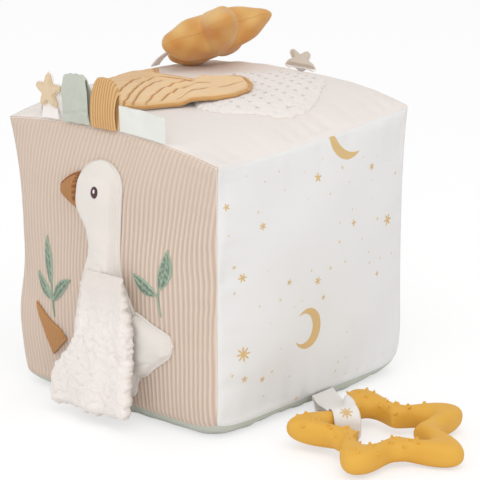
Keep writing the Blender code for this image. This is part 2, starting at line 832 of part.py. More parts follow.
def make_loop_tag(name, middle, width, height, lean, material):
    """A ribbon folded over and caught in the front top seam by both ends."""
    turns = 9
    up = np.linspace(0, 1, turns)
    bulge = loop_root / 2 + (loop_hollow - loop_root / 2) * np.sin(math.pi * np.clip(up, 0, 1)) ** 0.7
    bend = np.linspace(0, math.pi, 7)[1:-1]
    fold = bulge[-1] + loop_ribbon / 2
    rise = height - fold - loop_ribbon / 2
    line = [(-(bulge[k] + loop_ribbon / 2), rise * up[k]) for k in range(turns)]
    line += [(-fold * math.cos(b), rise + fold * math.sin(b)) for b in bend]
    line += [(bulge[k] + loop_ribbon / 2, rise * up[k]) for k in reversed(range(turns))]
    line = np.array(line)
    run = np.gradient(line, axis=0)
    out = np.stack([-run[:, 1], run[:, 0]], axis=1) / np.linalg.norm(run, axis=1)[:, None]
    across = np.linspace(-1, 1, 3) * width / 2

    def layer(offset):
        y, z = (line + out * offset).T
        x = middle + across[None, :] + 0 * y[:, None]
        foot = front_seam(middle + across)[None, :, :]
        tip_share = np.clip(z / height, 0, 1)[:, None]
        y = y[:, None] + foot[..., 1] + lean * tip_share**2
        return np.stack([x, y, z[:, None] + foot[..., 2] + tag_seam_gap], axis=-1)

    shell(name, layer(loop_ribbon / 2), layer(-loop_ribbon / 2), material)


def make_star_tag(name, middle, seam, height, facing, lean=0.0, skew=0.0, spin=0.0):
    """A felt star on a stem, with a smaller velour star sewn on its outer side."""
    columns = 40
    turn = np.linspace(0, 2 * math.pi, columns, endpoint=False)
    foot_top = seam(np.array(middle)) + np.array([0.0, 0.0, tag_seam_gap])

    def star(tip, notch, depth, stem):
        out = np.linspace(0, 1, 3)[:, None]
        radius = star_radius(turn + spin, tip, notch, star_tag_sharpness)[None, :] * out
        x = radius * np.sin(turn)
        z = radius * np.cos(turn)
        below = (np.cos(turn)[None, :] < -0.55) & (out > 0.4) & stem
        floor = seam(middle + x)[..., 2] + tag_seam_gap - foot_top[2] - height + abs(math.sin(lean)) * depth
        x = np.where(below, np.clip(x, -tag_stem_half, tag_stem_half), x)
        z = np.where(below & (out > 0.9), floor, z) if stem else np.maximum(z, star_tag_floor_gap - height)
        y, rise = facing * depth + 0 * x, z + height
        y, rise = y * math.cos(lean) + rise * math.sin(lean), rise * math.cos(lean) - y * math.sin(lean)
        return foot_top + np.stack([x + skew * y, y, rise], axis=-1)

    rim_tip, rim_notch = star_tag_tip + star_tag_felt_rim, star_tag_notch + star_tag_felt_rim
    half = star_tag_felt / 2
    felt_far, felt_near = star(rim_tip, rim_notch, half, True), star(rim_tip, rim_notch, -half, True)
    shell(name + "_felt", felt_far, felt_near, felt_white, wrap=True)
    near = half + fabric_gap
    far = near + star_tag_velour
    shell(
        name + "_velour",
        star(star_tag_tip, star_tag_notch, far, False),
        star(star_tag_tip, star_tag_notch, near, False),
        cream_velour,
        wrap=True,
    )


def make_label():
    """A plain woven label standing in the front top seam."""
    middle = label_x()
    across = middle + np.linspace(-1, 1, 7)[None, :] * label_width / 2
    up = np.linspace(0, 1, 3)[:, None]
    foot = front_seam(across + 0 * up)
    half = np.array([0.0, label_thickness / 2, 0.0])
    rise = np.zeros(foot.shape)
    rise[..., 2] = tag_seam_gap + label_height * up
    shell("seam_label", foot + rise - half, foot + rise + half, label_white)


def ochre_loop_x():
    return sage_loop_x + sage_loop_width / 2 + tag_gap_between + ochre_loop_width / 2


def label_x():
    return ochre_loop_x() + ochre_loop_width / 2 + tag_gap_between + label_width / 2


make_star_tag("star_tag", star_tag_x, front_seam, star_tag_height, -1)
make_star_tag(
    "rear_star_tag",
    rear_tag_x,
    back_seam,
    rear_tag_height,
    -1,
    lean=math.radians(rear_tag_lean_degrees),
    skew=rear_tag_skew_share,
    spin=math.radians(rear_tag_spin_degrees),
)
make_loop_tag("sage_tag_loop", sage_loop_x, sage_loop_width, sage_loop_height, sage_loop_lean, sage_velour)
make_loop_tag(
    "ochre_tag_loop", ochre_loop_x(), ochre_loop_width, ochre_loop_height, ochre_loop_lean, ochre_cord
)
make_label()


# The teether: a rubber star ring, lifted a little on the side where the strap holds it
def teether_frame():
    tilt = math.radians(teether_tilt_degrees)
    ahead = np.array([math.cos(tilt), 0.0, -math.sin(tilt)])
    aside = np.array([0.0, 1.0, 0.0])
    up = np.array([math.sin(tilt), 0.0, math.cos(tilt)])
    far_drop = (teether_tip + teether_hole_tip) / 2 * math.sin(tilt)
    centre = np.array([block_width / 2 + teether_reach, teether_aside, teether_thickness / 2 + far_drop])
    return ahead, aside, up, centre


def teether_point(turn, outward, height):
    """A point of the ring at an angle, outward from 0 at the hole to 1 at the rim, height from its middle."""
    ahead, aside, up, centre = teether_frame()
    star = turn - math.radians(teether_turn_degrees)
    hole = star_radius(star, teether_hole_tip, teether_hole_notch)
    rim = star_radius(star, teether_tip, teether_notch, teether_rim_sharpness)
    radius = hole + (rim - hole) * outward
    ring = radius[..., None] * (np.cos(turn)[..., None] * ahead + np.sin(turn)[..., None] * aside)
    return centre + ring + height[..., None] * up


def teether_half_thickness(turn):
    star = turn - math.radians(teether_turn_degrees)
    return star_radius(star, teether_thickness, teether_notch_thickness) / 2


def make_teether():
    turn, angle = np.meshgrid(
        np.linspace(0, 2 * math.pi, teether_columns, endpoint=False),
        np.linspace(0, 2 * math.pi, teether_section, endpoint=False),
        indexing="ij",
    )
    outward = 0.5 + 0.5 * np.sign(np.cos(angle)) * np.abs(np.cos(angle)) ** teether_squareness
    rise = np.sign(np.sin(angle)) * np.abs(np.sin(angle)) ** teether_squareness
    height = teether_half_thickness(turn) * rise
    points = teether_point(turn, outward, height)
    closed = np.concatenate([points, points[:1]])
    faces = grid_faces(teether_columns + 1, teether_section, 0, wrap=True)
    ring = link_mesh("teether_star", closed.reshape(-1, 3), faces, rubber)
    cut(ring, make_nubs(), "UNION")
    return ring


def make_nubs():
    """Rows of small blunt cones on the top of the ring, from the lower arm round to the back arm."""
    _, _, up, _ = teether_frame()
    skin = bmesh.new()
    nub_turns = np.radians(teether_turn_degrees + np.linspace(nub_start_degrees, nub_end_degrees, nub_count))
    bare = math.radians(nub_free_degrees)
    strap_turn = math.radians(180 + teether_turn_degrees + strap_crossing_degrees)
    for number, angle in enumerate(nub_turns):
        if abs(angle - strap_turn) < bare:
            continue
        outward = np.array(nub_side_shares[number % 2])
        turn = np.array(angle)
        top = teether_half_thickness(turn) * (1 - nub_fall_share * abs(outward - nub_ring_share) ** 2)
        base = teether_point(turn, outward, top)
        made = bmesh.ops.create_cone(
            skin,
            cap_ends=True,
            segments=6,
            radius1=nub_radius,
            radius2=nub_radius / 2,
            depth=nub_height + nub_sink,
        )
        shift = Vector(base) + Vector(up) * (nub_height - nub_sink) / 2
        bmesh.ops.translate(skin, verts=made["verts"], vec=shift)
    mesh = bpy.data.meshes.new("nubs")
    skin.to_mesh(mesh)
    skin.free()
    nubs = bpy.data.objects.new("nubs", mesh)
    bpy.context.scene.collection.objects.link(nubs)
    return nubs


make_teether()


# The strap: a tape from the bottom right seam, over the teether's notch and back under it
def right_seam(y):
    return block_point(1.0, y / (block_width / 2), -1.0)


def strap_cross():
    """The middle of the ring's notch, where the strap goes round it."""
    turn = np.array(math.radians(180 + teether_turn_degrees + strap_crossing_degrees))
    return teether_point(turn, np.array(0.5), np.array(0.0))


def strap_heading():
    run = strap_cross()[:2] - right_seam(np.array(strap_seam_y))[:2]
    return run / np.linalg.norm(run)


def strap_profile():
    """The tape's middle line in side view: shares of its reach and heights, from the seam and back."""
    cross = strap_cross()
    half = teether_notch_thickness / 2
    low = strap_floor_gap + strap_thickness / 2
    high = cross[2] + half + strap_roof
    seam_height = right_seam(np.array(strap_seam_y))[2]
    seam_half = strap_root_parting / 2 + strap_thickness / 2
    upper = (
        (0.00, seam_height + seam_half),
        (0.06, seam_height + seam_half),
        (0.22, seam_height + 0.45 * (high - seam_height)),
        (0.40, high),
        (0.62, high),
        (0.80, high),
    )
    lower = (
        (0.80, low),
        (0.62, low),
        (0.40, low),
        (0.20, low),
        (0.06, seam_height - seam_half),
        (0.00, seam_height - seam_half),
    )
    return upper, lower, low, high


def make_strap():
    heading = strap_heading()
    aside = np.array([-heading[1], heading[0]])
    cross = strap_cross()
    upper, lower, low, high = strap_profile()
    _, up_line = smooth_table(upper, 14)
    _, low_line = smooth_table([(0.80 - s, z) for s, z in lower], 14)
    bend = np.linspace(math.pi / 2, -math.pi / 2, 9)[1:-1]
    shares = np.concatenate([np.linspace(0, 0.80, 14), np.full(len(bend), 0.80), np.linspace(0.80, 0, 14)])
    middle, radius = (high + low) / 2, (high - low) / 2
    heights = np.concatenate([up_line[:, 0], middle + radius * np.sin(bend), low_line[:, 0]])
    heights = np.clip(heights, low, high)
    notch_half = (teether_notch - teether_hole_notch) / 2
    bight_depth = strap_bight_share * radius
    bulge = np.concatenate([np.zeros(14), bight_depth * np.cos(bend), np.zeros(14)])
    across = np.linspace(-1, 1, 5) * strap_half_width
    start_y = strap_seam_y + across / heading[0]
    start = right_seam(start_y)[:, :2] + np.array([strap_root_gap, 0.0])
    end = cross[:2] + aside * across[:, None] + heading * (notch_half + strap_clearance)
    reach_share = shares / 0.80
    plan = start[None] + (end - start)[None] * reach_share[:, None, None] + heading * bulge[:, None, None]
    line = np.concatenate([plan, np.repeat(heights[:, None, None], len(across), axis=1)], axis=2)
    run = np.gradient(line, axis=0)
    side = np.cross(run, np.array([*aside, 0.0]))
    side /= np.linalg.norm(side, axis=2)[..., None]
    half = side * strap_thickness / 2
    shell("teether_strap", line + half, line - half, felt_white)


make_strap()
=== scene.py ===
import math
from math import pi, radians

import bmesh
import bpy
import numpy as np
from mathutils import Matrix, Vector


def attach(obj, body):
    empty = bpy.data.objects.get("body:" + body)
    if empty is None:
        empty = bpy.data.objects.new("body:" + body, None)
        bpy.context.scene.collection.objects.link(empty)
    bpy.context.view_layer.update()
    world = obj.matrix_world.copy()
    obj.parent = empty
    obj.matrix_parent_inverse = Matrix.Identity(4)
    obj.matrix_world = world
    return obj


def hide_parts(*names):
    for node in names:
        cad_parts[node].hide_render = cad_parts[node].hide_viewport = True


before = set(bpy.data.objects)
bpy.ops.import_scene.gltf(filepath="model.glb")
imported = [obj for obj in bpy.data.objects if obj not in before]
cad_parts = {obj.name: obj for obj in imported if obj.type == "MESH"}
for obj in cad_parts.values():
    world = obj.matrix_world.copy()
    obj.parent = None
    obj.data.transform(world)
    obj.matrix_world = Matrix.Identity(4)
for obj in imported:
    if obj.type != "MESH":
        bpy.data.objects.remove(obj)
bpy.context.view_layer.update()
print("frame loaded,", len(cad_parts), "nodes")


# Helpers for grids and meshes
def unit(vectors):
    return vectors / np.maximum(np.linalg.norm(vectors, axis=-1, keepdims=True), 1e-12)


def fadeIn(value, start, end):  # 0 before start, 1 after end, with a soft bend at both
    t = np.clip((value - start) / (end - start), 0, 1)
    return t * t * (3 - 2 * t)


def roundEdge(distance, width):  # 0 at an edge, 1 from width inwards, and round between: sqrt(distance / width)
    return np.sqrt(np.clip(distance / width, 0, 1))


def bell(distance, width):  # 1 at no distance, falling off on both sides: e^-(distance / width)^2
    return np.exp(-((distance / width) ** 2))


def grid(rows, columns):
    return np.meshgrid(rows, columns, indexing="ij")


def fullTurn(count):  # angles once round, the last one short of the first
    return np.linspace(0, 2 * pi, count, endpoint=False)


def crowded(count):  # from -1 to 1, closer together near both ends
    return np.sin(np.linspace(-pi / 2, pi / 2, count))


def travel(line):  # how far along a line each of its points is
    return np.concatenate([[0.0], np.cumsum(np.linalg.norm(np.diff(line, axis=0), axis=-1))])


def pairs(first, second):  # two grids as a list of flat places
    return np.stack(np.broadcast_arrays(first, second), axis=-1).reshape(-1, 2)


def quads(rows, columns, wrap=False):  # corner numbers of every cell of a grid
    i, j = grid(np.arange(rows - 1), np.arange(columns if wrap else columns - 1))
    k = (j + 1) % columns
    corners = (i * columns + j, i * columns + k, (i + 1) * columns + k, (i + 1) * columns + j)
    return np.stack(corners, axis=-1).reshape(-1, 4)


def thickSkin(outer, inner, wrap=False):  # two grids closed round their borders into one skin
    rows, columns = outer.shape[:2]
    count = rows * columns
    index = np.arange(count).reshape(rows, columns)
    cells = quads(rows, columns, wrap)
    faces = [cells, cells[:, ::-1] + count]
    lines = [index[0], index[-1]]
    if wrap:
        lines = [np.append(line, line[0]) for line in lines]
    else:
        lines += [index[:, 0], index[:, -1]]
    for line in lines:
        faces.append(np.stack([line[:-1], line[1:], line[1:] + count, line[:-1] + count], axis=-1))
    return np.concatenate([outer.reshape(-1, 3), inner.reshape(-1, 3)]), np.concatenate(faces)


def tubeSkin(path, aside, above, wide, high, sides=8):
    # rings round a path: centre + wide cos(angle) aside + high sin(angle) above, closed by points at both ends
    angle = fullTurn(sides)
    swell = np.sqrt(np.clip(1 - np.linspace(-1, 1, len(path)) ** 10, 0, 1))[:, None, None]
    ring = aside[:, None] * wide * np.cos(angle)[None, :, None] + above[:, None] * high * np.sin(angle)[None, :, None]
    points = path[:, None] + ring * swell
    return points.reshape(-1, 3), quads(len(path), sides, wrap=True)


def threadSkin(surface, lift, wide, high, sides=6):  # a tube laid along surface(lift), standing up as the surface does
    path = surface(lift)
    forward, above = unit(np.gradient(path, axis=0)), unit(surface(lift + 0.001) - path)
    return tubeSkin(path, unit(np.cross(forward, above)), above, wide, high, sides)


def joinSkins(skins):
    counts = np.cumsum([0] + [len(points) for points, _ in skins[:-1]])
    return (
        np.concatenate([points for points, _ in skins]),
        np.concatenate([faces + first for (_, faces), first in zip(skins, counts)]),
    )


def addPiece(name, skin, material, body, nodes=(), uv=None, marks=None, sharp=60):
    # uv and marks given for one face of a thick skin serve both
    points, faces = skin
    mesh = bpy.data.meshes.new(name)
    mesh.vertices.add(len(points))
    mesh.vertices.foreach_set("co", np.ascontiguousarray(points, np.float32).ravel())
    mesh.loops.add(faces.size)
    mesh.loops.foreach_set("vertex_index", faces.astype(np.int32).ravel())
    mesh.polygons.add(len(faces))
    mesh.polygons.foreach_set("loop_start", np.arange(0, faces.size, 4, dtype=np.int32))
    mesh.update(calc_edges=True)
    if uv is not None:
        uv = np.tile(uv, (len(points) // len(uv), 1))
        layer = mesh.uv_layers.new(name="cloth")
        layer.data.foreach_set("uv", uv.reshape(-1, 2)[faces.ravel()].astype(np.float32).ravel())
    for mark, values in (marks or {}).items():
        attribute = mesh.attributes.new(mark, "FLOAT", "POINT")
        attribute.data.foreach_set("value", np.resize(np.asarray(values, np.float32), len(points)))
    made = bmesh.new()
    made.from_mesh(mesh)
    bmesh.ops.remove_doubles(made, verts=made.verts, dist=1e-6)
    bmesh.ops.recalc_face_normals(made, faces=made.faces)
    made.to_mesh(mesh)
    made.free()
    mesh.shade_smooth()
    mesh.set_sharp_from_angle(angle=radians(sharp))
    mesh.materials.append(material)
    piece = bpy.data.objects.new(name, mesh)
    bpy.context.scene.collection.objects.link(piece)
    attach(piece, body)
    if nodes:
        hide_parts(*nodes)
    return piece


def ripple(p, q, seed, wavelength, waves=9):  # soft uneven swell of about -1 to 1: sine waves with seeded headings
    random = np.random.default_rng(seed)
    heading, phase = random.uniform(0, 2 * pi, (2, waves))
    length = wavelength * random.uniform(0.7, 1.5, waves)
    total = 0
    for k in range(waves):
        total = total + np.sin(2 * pi * (p * math.cos(heading[k]) + q * math.sin(heading[k])) / length[k] + phase[k])
    return total / math.sqrt(waves)


def curls(p, q, seed, cell):  # rounded lumps: 1 at one seeded spot of each cell, falling to 0 between the spots
    jitter = np.random.default_rng(seed).uniform(0.15, 0.85, (64, 64, 2))
    column, row = np.floor(p / cell).astype(int), np.floor(q / cell).astype(int)
    nearest = np.full(np.shape(p), 9.0)
    for i in (-1, 0, 1):
        for j in (-1, 0, 1):
            spot = jitter[(column + i) % 64, (row + j) % 64]
            away = np.hypot(p / cell - column - i - spot[..., 0], q / cell - row - j - spot[..., 1])
            nearest = np.minimum(nearest, away)
    return np.sqrt(np.clip(1 - (nearest / 0.72) ** 2, 0, 1))


def smoothTable(table, places):  # rows of a given table joined by a smooth curve and read at places
    table = np.array(table, float)
    slope = np.gradient(table[:, 1:], table[:, 0], axis=0)
    span = np.clip(np.searchsorted(table[:, 0], places, side="right") - 1, 0, len(table) - 2)
    width = (table[span + 1, 0] - table[span, 0])[..., None]
    t = (places - table[span, 0])[..., None] / width
    return (
        (2 * t**3 - 3 * t**2 + 1) * table[span, 1:]
        + (t**3 - 2 * t**2 + t) * width * slope[span]
        + (3 * t**2 - 2 * t**3) * table[span + 1, 1:]
        + (t**3 - t**2) * width * slope[span + 1]
    )


def nearLine(p, q, line):  # distance from every point of a grid to a line drawn by points, and how far along it is
    start, run = line[:-1], np.diff(line, axis=0)
    length = np.maximum(np.sum(run**2, axis=1), 1e-18)
    spots = np.stack([p, q], axis=-1).reshape(-1, 1, 2)
    share = np.clip(np.sum((spots - start) * run, axis=2) / length, 0, 1)
    gap = np.linalg.norm(spots - start - share[..., None] * run, axis=2)
    best = np.argmin(gap, axis=1)
    row = np.arange(len(best))
    travelled = np.concatenate([[0.0], np.cumsum(np.sqrt(length))])[best] + share[row, best] * np.sqrt(length[best])
    return gap[row, best].reshape(np.shape(p)), travelled.reshape(np.shape(p))


# Material helpers
def addNode(tree, kind, inputs=None, **settings):
    node = tree.nodes.new("ShaderNode" + kind)
    for key, value in settings.items():
        setattr(node, key, value)
    for key, value in (inputs or {}).items():
        if isinstance(value, bpy.types.NodeSocket):
            tree.links.new(value, node.inputs[key])
        else:
            node.inputs[key].default_value = value
    return node


def newGroup(name, inputs, outputs):
    group = bpy.data.node_groups.new(name, "ShaderNodeTree")
    for label, kind, value in inputs:
        socket = group.interface.new_socket(name=label, in_out="INPUT", socket_type=kind)
        if value is not None:
            socket.default_value = value
    for label, kind in outputs:
        group.interface.new_socket(name=label, in_out="OUTPUT", socket_type=kind)
    return group, group.nodes.new("NodeGroupInput").outputs, group.nodes.new("NodeGroupOutput").inputs


def useGroup(tree, group, inputs):
    return addNode(tree, "Group", inputs, node_tree=group).outputs


def maths(tree, operation, first, second=0.0):
    return addNode(tree, "Math", {0: first, 1: second}, operation=operation).outputs[0]


def mixColour(tree, factor, first, second):
    return addNode(tree, "Mix", {0: factor, 6: first, 7: second}, data_type="RGBA").outputs[2]


def srgb(red, green, blue):  # a colour given on the 0 to 255 scale, as Blender's linear colour
    share = np.array([red, green, blue]) / 255
    return (*np.where(share <= 0.04045, share / 12.92, ((share + 0.055) / 1.055) ** 2.4).tolist(), 1.0)


# Shared effects: plain weave, napped pile, parallel threads, and slow fading of the colour
def makeWeave():
    group, given, out = newGroup(
        "plainWeave",
        (("Vector", "NodeSocketVector", None), ("Threads", "NodeSocketFloat", 2200.0), ("Slub", "NodeSocketFloat", 0.3)),
        (("Height", "NodeSocketFloat"), ("Shade", "NodeSocketFloat")),
    )
    wander = addNode(group, "TexNoise", {"Vector": given["Vector"], "Scale": 260.0, "Detail": 2.0})
    drift = addNode(
        group, "VectorMath", {0: wander.outputs["Color"], "Scale": 0.0006}, operation="SCALE"
    )
    moved = addNode(group, "VectorMath", {0: given["Vector"], 1: drift.outputs[0]}, operation="ADD")
    apart = addNode(group, "SeparateXYZ", {0: moved.outputs[0]})
    pitch = maths(group, "MULTIPLY", given["Threads"], pi)
    warp = maths(group, "SINE", maths(group, "MULTIPLY", apart.outputs[0], pitch))
    weft = maths(group, "SINE", maths(group, "MULTIPLY", apart.outputs[1], pitch))
    over = maths(group, "GREATER_THAN", maths(group, "MULTIPLY", warp, weft), 0.0)
    warpUp = maths(group, "MULTIPLY", maths(group, "ABSOLUTE", warp), over)
    weftUp = maths(group, "MULTIPLY", maths(group, "ABSOLUTE", weft), maths(group, "SUBTRACT", 1.0, over))
    thread = maths(group, "ADD", warpUp, weftUp)
    uneven = addNode(group, "TexNoise", {"Vector": given["Vector"], "Scale": 900.0, "Detail": 3.0})
    slub = maths(group, "MULTIPLY", uneven.outputs[0], given["Slub"])
    height = maths(group, "ADD", thread, slub)
    group.links.new(height, out["Height"])
    group.links.new(maths(group, "MULTIPLY", height, 0.75), out["Shade"])
    return group


def makeNap():
    group, given, out = newGroup(
        "nappedPile",
        (("Vector", "NodeSocketVector", None), ("Fineness", "NodeSocketFloat", 900.0), ("Brushed", "NodeSocketFloat", 0.5)),
        (("Height", "NodeSocketFloat"), ("Shade", "NodeSocketFloat")),
    )
    fine = addNode(
        group, "TexNoise", {"Vector": given["Vector"], "Scale": given["Fineness"], "Detail": 4.0, "Roughness": 0.7}
    )
    patches = addNode(
        group,
        "TexNoise",
        {"Vector": given["Vector"], "Scale": maths(group, "MULTIPLY", given["Fineness"], 0.09), "Detail": 3.0},
    )
    group.links.new(fine.outputs[0], out["Height"])
    brushed = maths(group, "MULTIPLY", patches.outputs[0], given["Brushed"])
    plain = maths(group, "MULTIPLY", fine.outputs[0], maths(group, "SUBTRACT", 1.0, given["Brushed"]))
    group.links.new(maths(group, "ADD", brushed, plain), out["Shade"])
    return group


def makeThreads():
    group, given, out = newGroup(
        "parallelThreads",
        (("Vector", "NodeSocketVector", None), ("Threads", "NodeSocketFloat", 2500.0), ("Loose", "NodeSocketFloat", 0.25)),
        (("Height", "NodeSocketFloat"), ("Shade", "NodeSocketFloat")),
    )
    apart = addNode(group, "SeparateXYZ", {0: given["Vector"]})
    wander = addNode(group, "TexNoise", {"Vector": given["Vector"], "Scale": 700.0, "Detail": 2.0})
    phase = maths(
        group,
        "ADD",
        maths(group, "MULTIPLY", apart.outputs[0], maths(group, "MULTIPLY", given["Threads"], pi)),
        maths(group, "MULTIPLY", wander.outputs[0], maths(group, "MULTIPLY", given["Loose"], 8.0)),
    )
    height = maths(group, "ABSOLUTE", maths(group, "SINE", phase))
    group.links.new(height, out["Height"])
    group.links.new(maths(group, "ADD", maths(group, "MULTIPLY", height, 0.6), 0.2), out["Shade"])
    return group


def makeFade():
    group, given, out = newGroup(
        "slowFade",
        (("Colour", "NodeSocketColor", None), ("Vector", "NodeSocketVector", None), ("Shade", "NodeSocketFloat", 0.5),
         ("Contrast", "NodeSocketFloat", 0.2), ("Fade", "NodeSocketFloat", 0.06)),
        (("Colour", "NodeSocketColor"), ("Roughness", "NodeSocketFloat")),
    )
    slow = addNode(group, "TexNoise", {"Vector": given["Vector"], "Scale": 28.0, "Detail": 3.0})
    # Shade darkens the colour where a weave's or thread's height is low, painted shade between threads; in pile it is
    # random tone
    grain = maths(group, "MULTIPLY", maths(group, "SUBTRACT", given["Shade"], 0.5), given["Contrast"])
    faded = maths(group, "MULTIPLY", maths(group, "SUBTRACT", slow.outputs[0], 0.5), given["Fade"])
    level = maths(group, "ADD", maths(group, "ADD", grain, faded), 1.0)
    scaled = addNode(group, "VectorMath", {0: given["Colour"], "Scale": level}, operation="SCALE")
    group.links.new(scaled.outputs[0], out["Colour"])
    rough = addNode(
        group, "MapRange", {"Value": given["Shade"], "To Min": 0.98, "To Max": 0.78}
    )
    group.links.new(rough.outputs[0], out["Roughness"])
    return group


weaveGroup, napGroup, threadGroup, fadeGroup = makeWeave(), makeNap(), makeThreads(), makeFade()


def newMaterial(name):  # with its node tree, its shader and the Object coordinates
    material = bpy.data.materials.new(name)
    material.use_nodes = True
    tree = material.node_tree
    return material, tree, tree.nodes["Principled BSDF"], addNode(tree, "TexCoord").outputs["Object"]


def clothMaterial(name, colour, kind="nap", size=900.0, loose=0.3, contrast=0.25, fade=0.06, relief=0.00012,
                  sheen=0.15, marked=None, markColour=None, roughness=None):
    # one cloth: a shared effect gives its threads or pile, a point attribute may blend in a second colour
    material, tree, shader, place = newMaterial(name)
    if kind == "nap":
        effect = useGroup(tree, napGroup, {"Vector": place, "Fineness": size, "Brushed": loose})
    else:
        flat = addNode(tree, "UVMap", uv_map="cloth").outputs[0]
        if kind == "weave":
            effect = useGroup(tree, weaveGroup, {"Vector": flat, "Threads": size, "Slub": loose})
        else:
            effect = useGroup(tree, threadGroup, {"Vector": flat, "Threads": size, "Loose": loose})
    base = colour
    if marked:
        mark = addNode(tree, "Attribute", attribute_name=marked).outputs["Fac"]
        base = mixColour(tree, mark, colour, markColour)
    tone = useGroup(
        tree, fadeGroup, {"Colour": base, "Vector": place, "Shade": effect["Shade"], "Contrast": contrast, "Fade": fade}
    )
    tree.links.new(tone["Colour"], shader.inputs["Base Color"])
    if roughness is None:
        tree.links.new(tone["Roughness"], shader.inputs["Roughness"])
    else:
        shader.inputs["Roughness"].default_value = roughness
    bump = addNode(tree, "Bump", {"Height": effect["Height"], "Distance": relief, "Strength": 0.9})
    tree.links.new(bump.outputs[0], shader.inputs["Normal"])
    shader.inputs["Sheen Weight"].default_value = sheen
    shader.inputs["Sheen Roughness"].default_value = 0.5
    shader.inputs["Specular IOR Level"].default_value = 0.2
    return material


# ribbed beige: the ridge mark gives painted light on the rib tops and painted shade in the valleys between them
beigeRib = clothMaterial("beigeRib", srgb(196, 175, 159), "threads", 900.0, 0.2, 0.10, 0.07, 0.00008, 0.1,
                         "ridge", srgb(220, 202, 187))
printedCotton = clothMaterial("printedCotton", srgb(233, 232, 231), "weave", 2300.0, 0.4, 0.07, 0.03, 0.00006, 0.05)
creamCotton = clothMaterial("creamCotton", srgb(236, 228, 222), "weave", 2300.0, 0.4, 0.07, 0.04, 0.00006, 0.05)
sageVelour = clothMaterial("sageVelour", srgb(190, 194, 182), "nap", 1300.0, 0.4, 0.22, 0.06, 0.00012, 0.3)
whiteVelour = clothMaterial("whiteVelour", srgb(226, 220, 213), "nap", 1300.0, 0.35, 0.16, 0.05, 0.00026, 0.3)
# bouclé: the curl mark gives painted light on the lumps, painted shade between them and at the wing's shoulder
bouclePile = clothMaterial("bouclePile", srgb(224, 216, 209), "nap", 1500.0, 0.3, 0.22, 0.05, 0.00034, 0.3,
                           "curl", srgb(240, 233, 228))
# ochre cord: the ridge mark gives painted light on the rib tops and painted shade between them
ochreCord = clothMaterial("ochreCord", srgb(188, 144, 92), "threads", 1800.0, 0.3, 0.2, 0.06, 0.0001, 0.15,
                          "ridge", srgb(221, 181, 128))
# peach wing, darker where the line mark is high: the feather lines' own colour, and painted shade over the flap's left
# part
wingPeach = clothMaterial("wingPeach", srgb(230, 195, 148), "nap", 1500.0, 0.5, 0.24, 0.10, 0.00012, 0.25,
                          "line", srgb(198, 152, 98))
satinOchre = clothMaterial("satinOchre", srgb(220, 168, 104), "threads", 2600.0, 0.15, 0.35, 0.06, 0.0002, 0.1,
                           roughness=0.55)
brownThread = clothMaterial("brownThread", srgb(184, 132, 78), "nap", 2500.0, 0.2, 0.2, 0.05, 0.00005, 0.05)
# beak and foot cloth: the ridge mark gives painted light on the ribs and painted shade in the grooves
beakRib = clothMaterial("beakRib", srgb(160, 106, 62), "threads", 2000.0, 0.3, 0.2, 0.06, 0.0001, 0.1,
                        "ridge", srgb(196, 148, 98))
beakThread = clothMaterial("beakThread", srgb(170, 104, 50), "nap", 2500.0, 0.2, 0.2, 0.05, 0.00005, 0.05)
# mustard velour, lighter where the star's mark is high: random mottle, and painted light on the star's upper left
mustardVelour = clothMaterial("mustardVelour", srgb(204, 144, 77), "nap", 1400.0, 0.45, 0.30, 0.10, 0.00014, 0.25,
                              "mottleAndPaintedLight", srgb(220, 178, 112))
creamVelour = clothMaterial("creamVelour", srgb(218, 196, 164), "nap", 1500.0, 0.35, 0.15, 0.05, 0.0001, 0.3)
# the rear star tag's cream velour, darkened to grey as painted shade
shadedCreamVelour = clothMaterial("shadedCreamVelour", srgb(208, 196, 180), "nap", 1500.0, 0.35, 0.15, 0.05, 0.0001, 0.3)
patchPlush = clothMaterial("patchPlush", srgb(234, 227, 222), "nap", 1300.0, 0.35, 0.14, 0.04, 0.00026, 0.3)
dashThread = clothMaterial("dashThread", srgb(212, 201, 192), "nap", 2500.0, 0.2, 0.15, 0.05, 0.00005, 0.05)
whiteFelt = clothMaterial("whiteFelt", srgb(240, 234, 230), "nap", 2200.0, 0.25, 0.16, 0.04, 0.00010, 0.1)
whiteTape = clothMaterial("whiteTape", srgb(238, 234, 230), "weave", 3200.0, 0.3, 0.12, 0.03, 0.00006, 0.05)
labelTape = clothMaterial("labelTape", srgb(231, 232, 226), "weave", 3600.0, 0.2, 0.10, 0.03, 0.00005, 0.05)
leafThread = clothMaterial("leafThread", srgb(122, 136, 122), "threads", 3000.0, 0.6, 0.6, 0.20, 0.00012, 0.1,
                           "line", srgb(164, 184, 162), roughness=0.6)
eyeThread = clothMaterial("eyeThread", srgb(84, 58, 66), "threads", 3600.0, 0.15, 0.35, 0.05, 0.0001, 0.05, roughness=0.5)
glintThread = clothMaterial("glintThread", srgb(236, 230, 228), "nap", 2500.0, 0.2, 0.1, 0.02, 0.00005, 0.05)
goldPrint = clothMaterial("goldPrint", srgb(214, 182, 128), "weave", 2300.0, 0.5, 0.22, 0.12, 0.00005, 0.0,
                          "pale", srgb(228, 214, 190), roughness=0.6)
fluffyWadding = clothMaterial("fluffyWadding", srgb(244, 243, 238), "nap", 500.0, 0.5, 0.10, 0.03, 0.0006, 0.2)


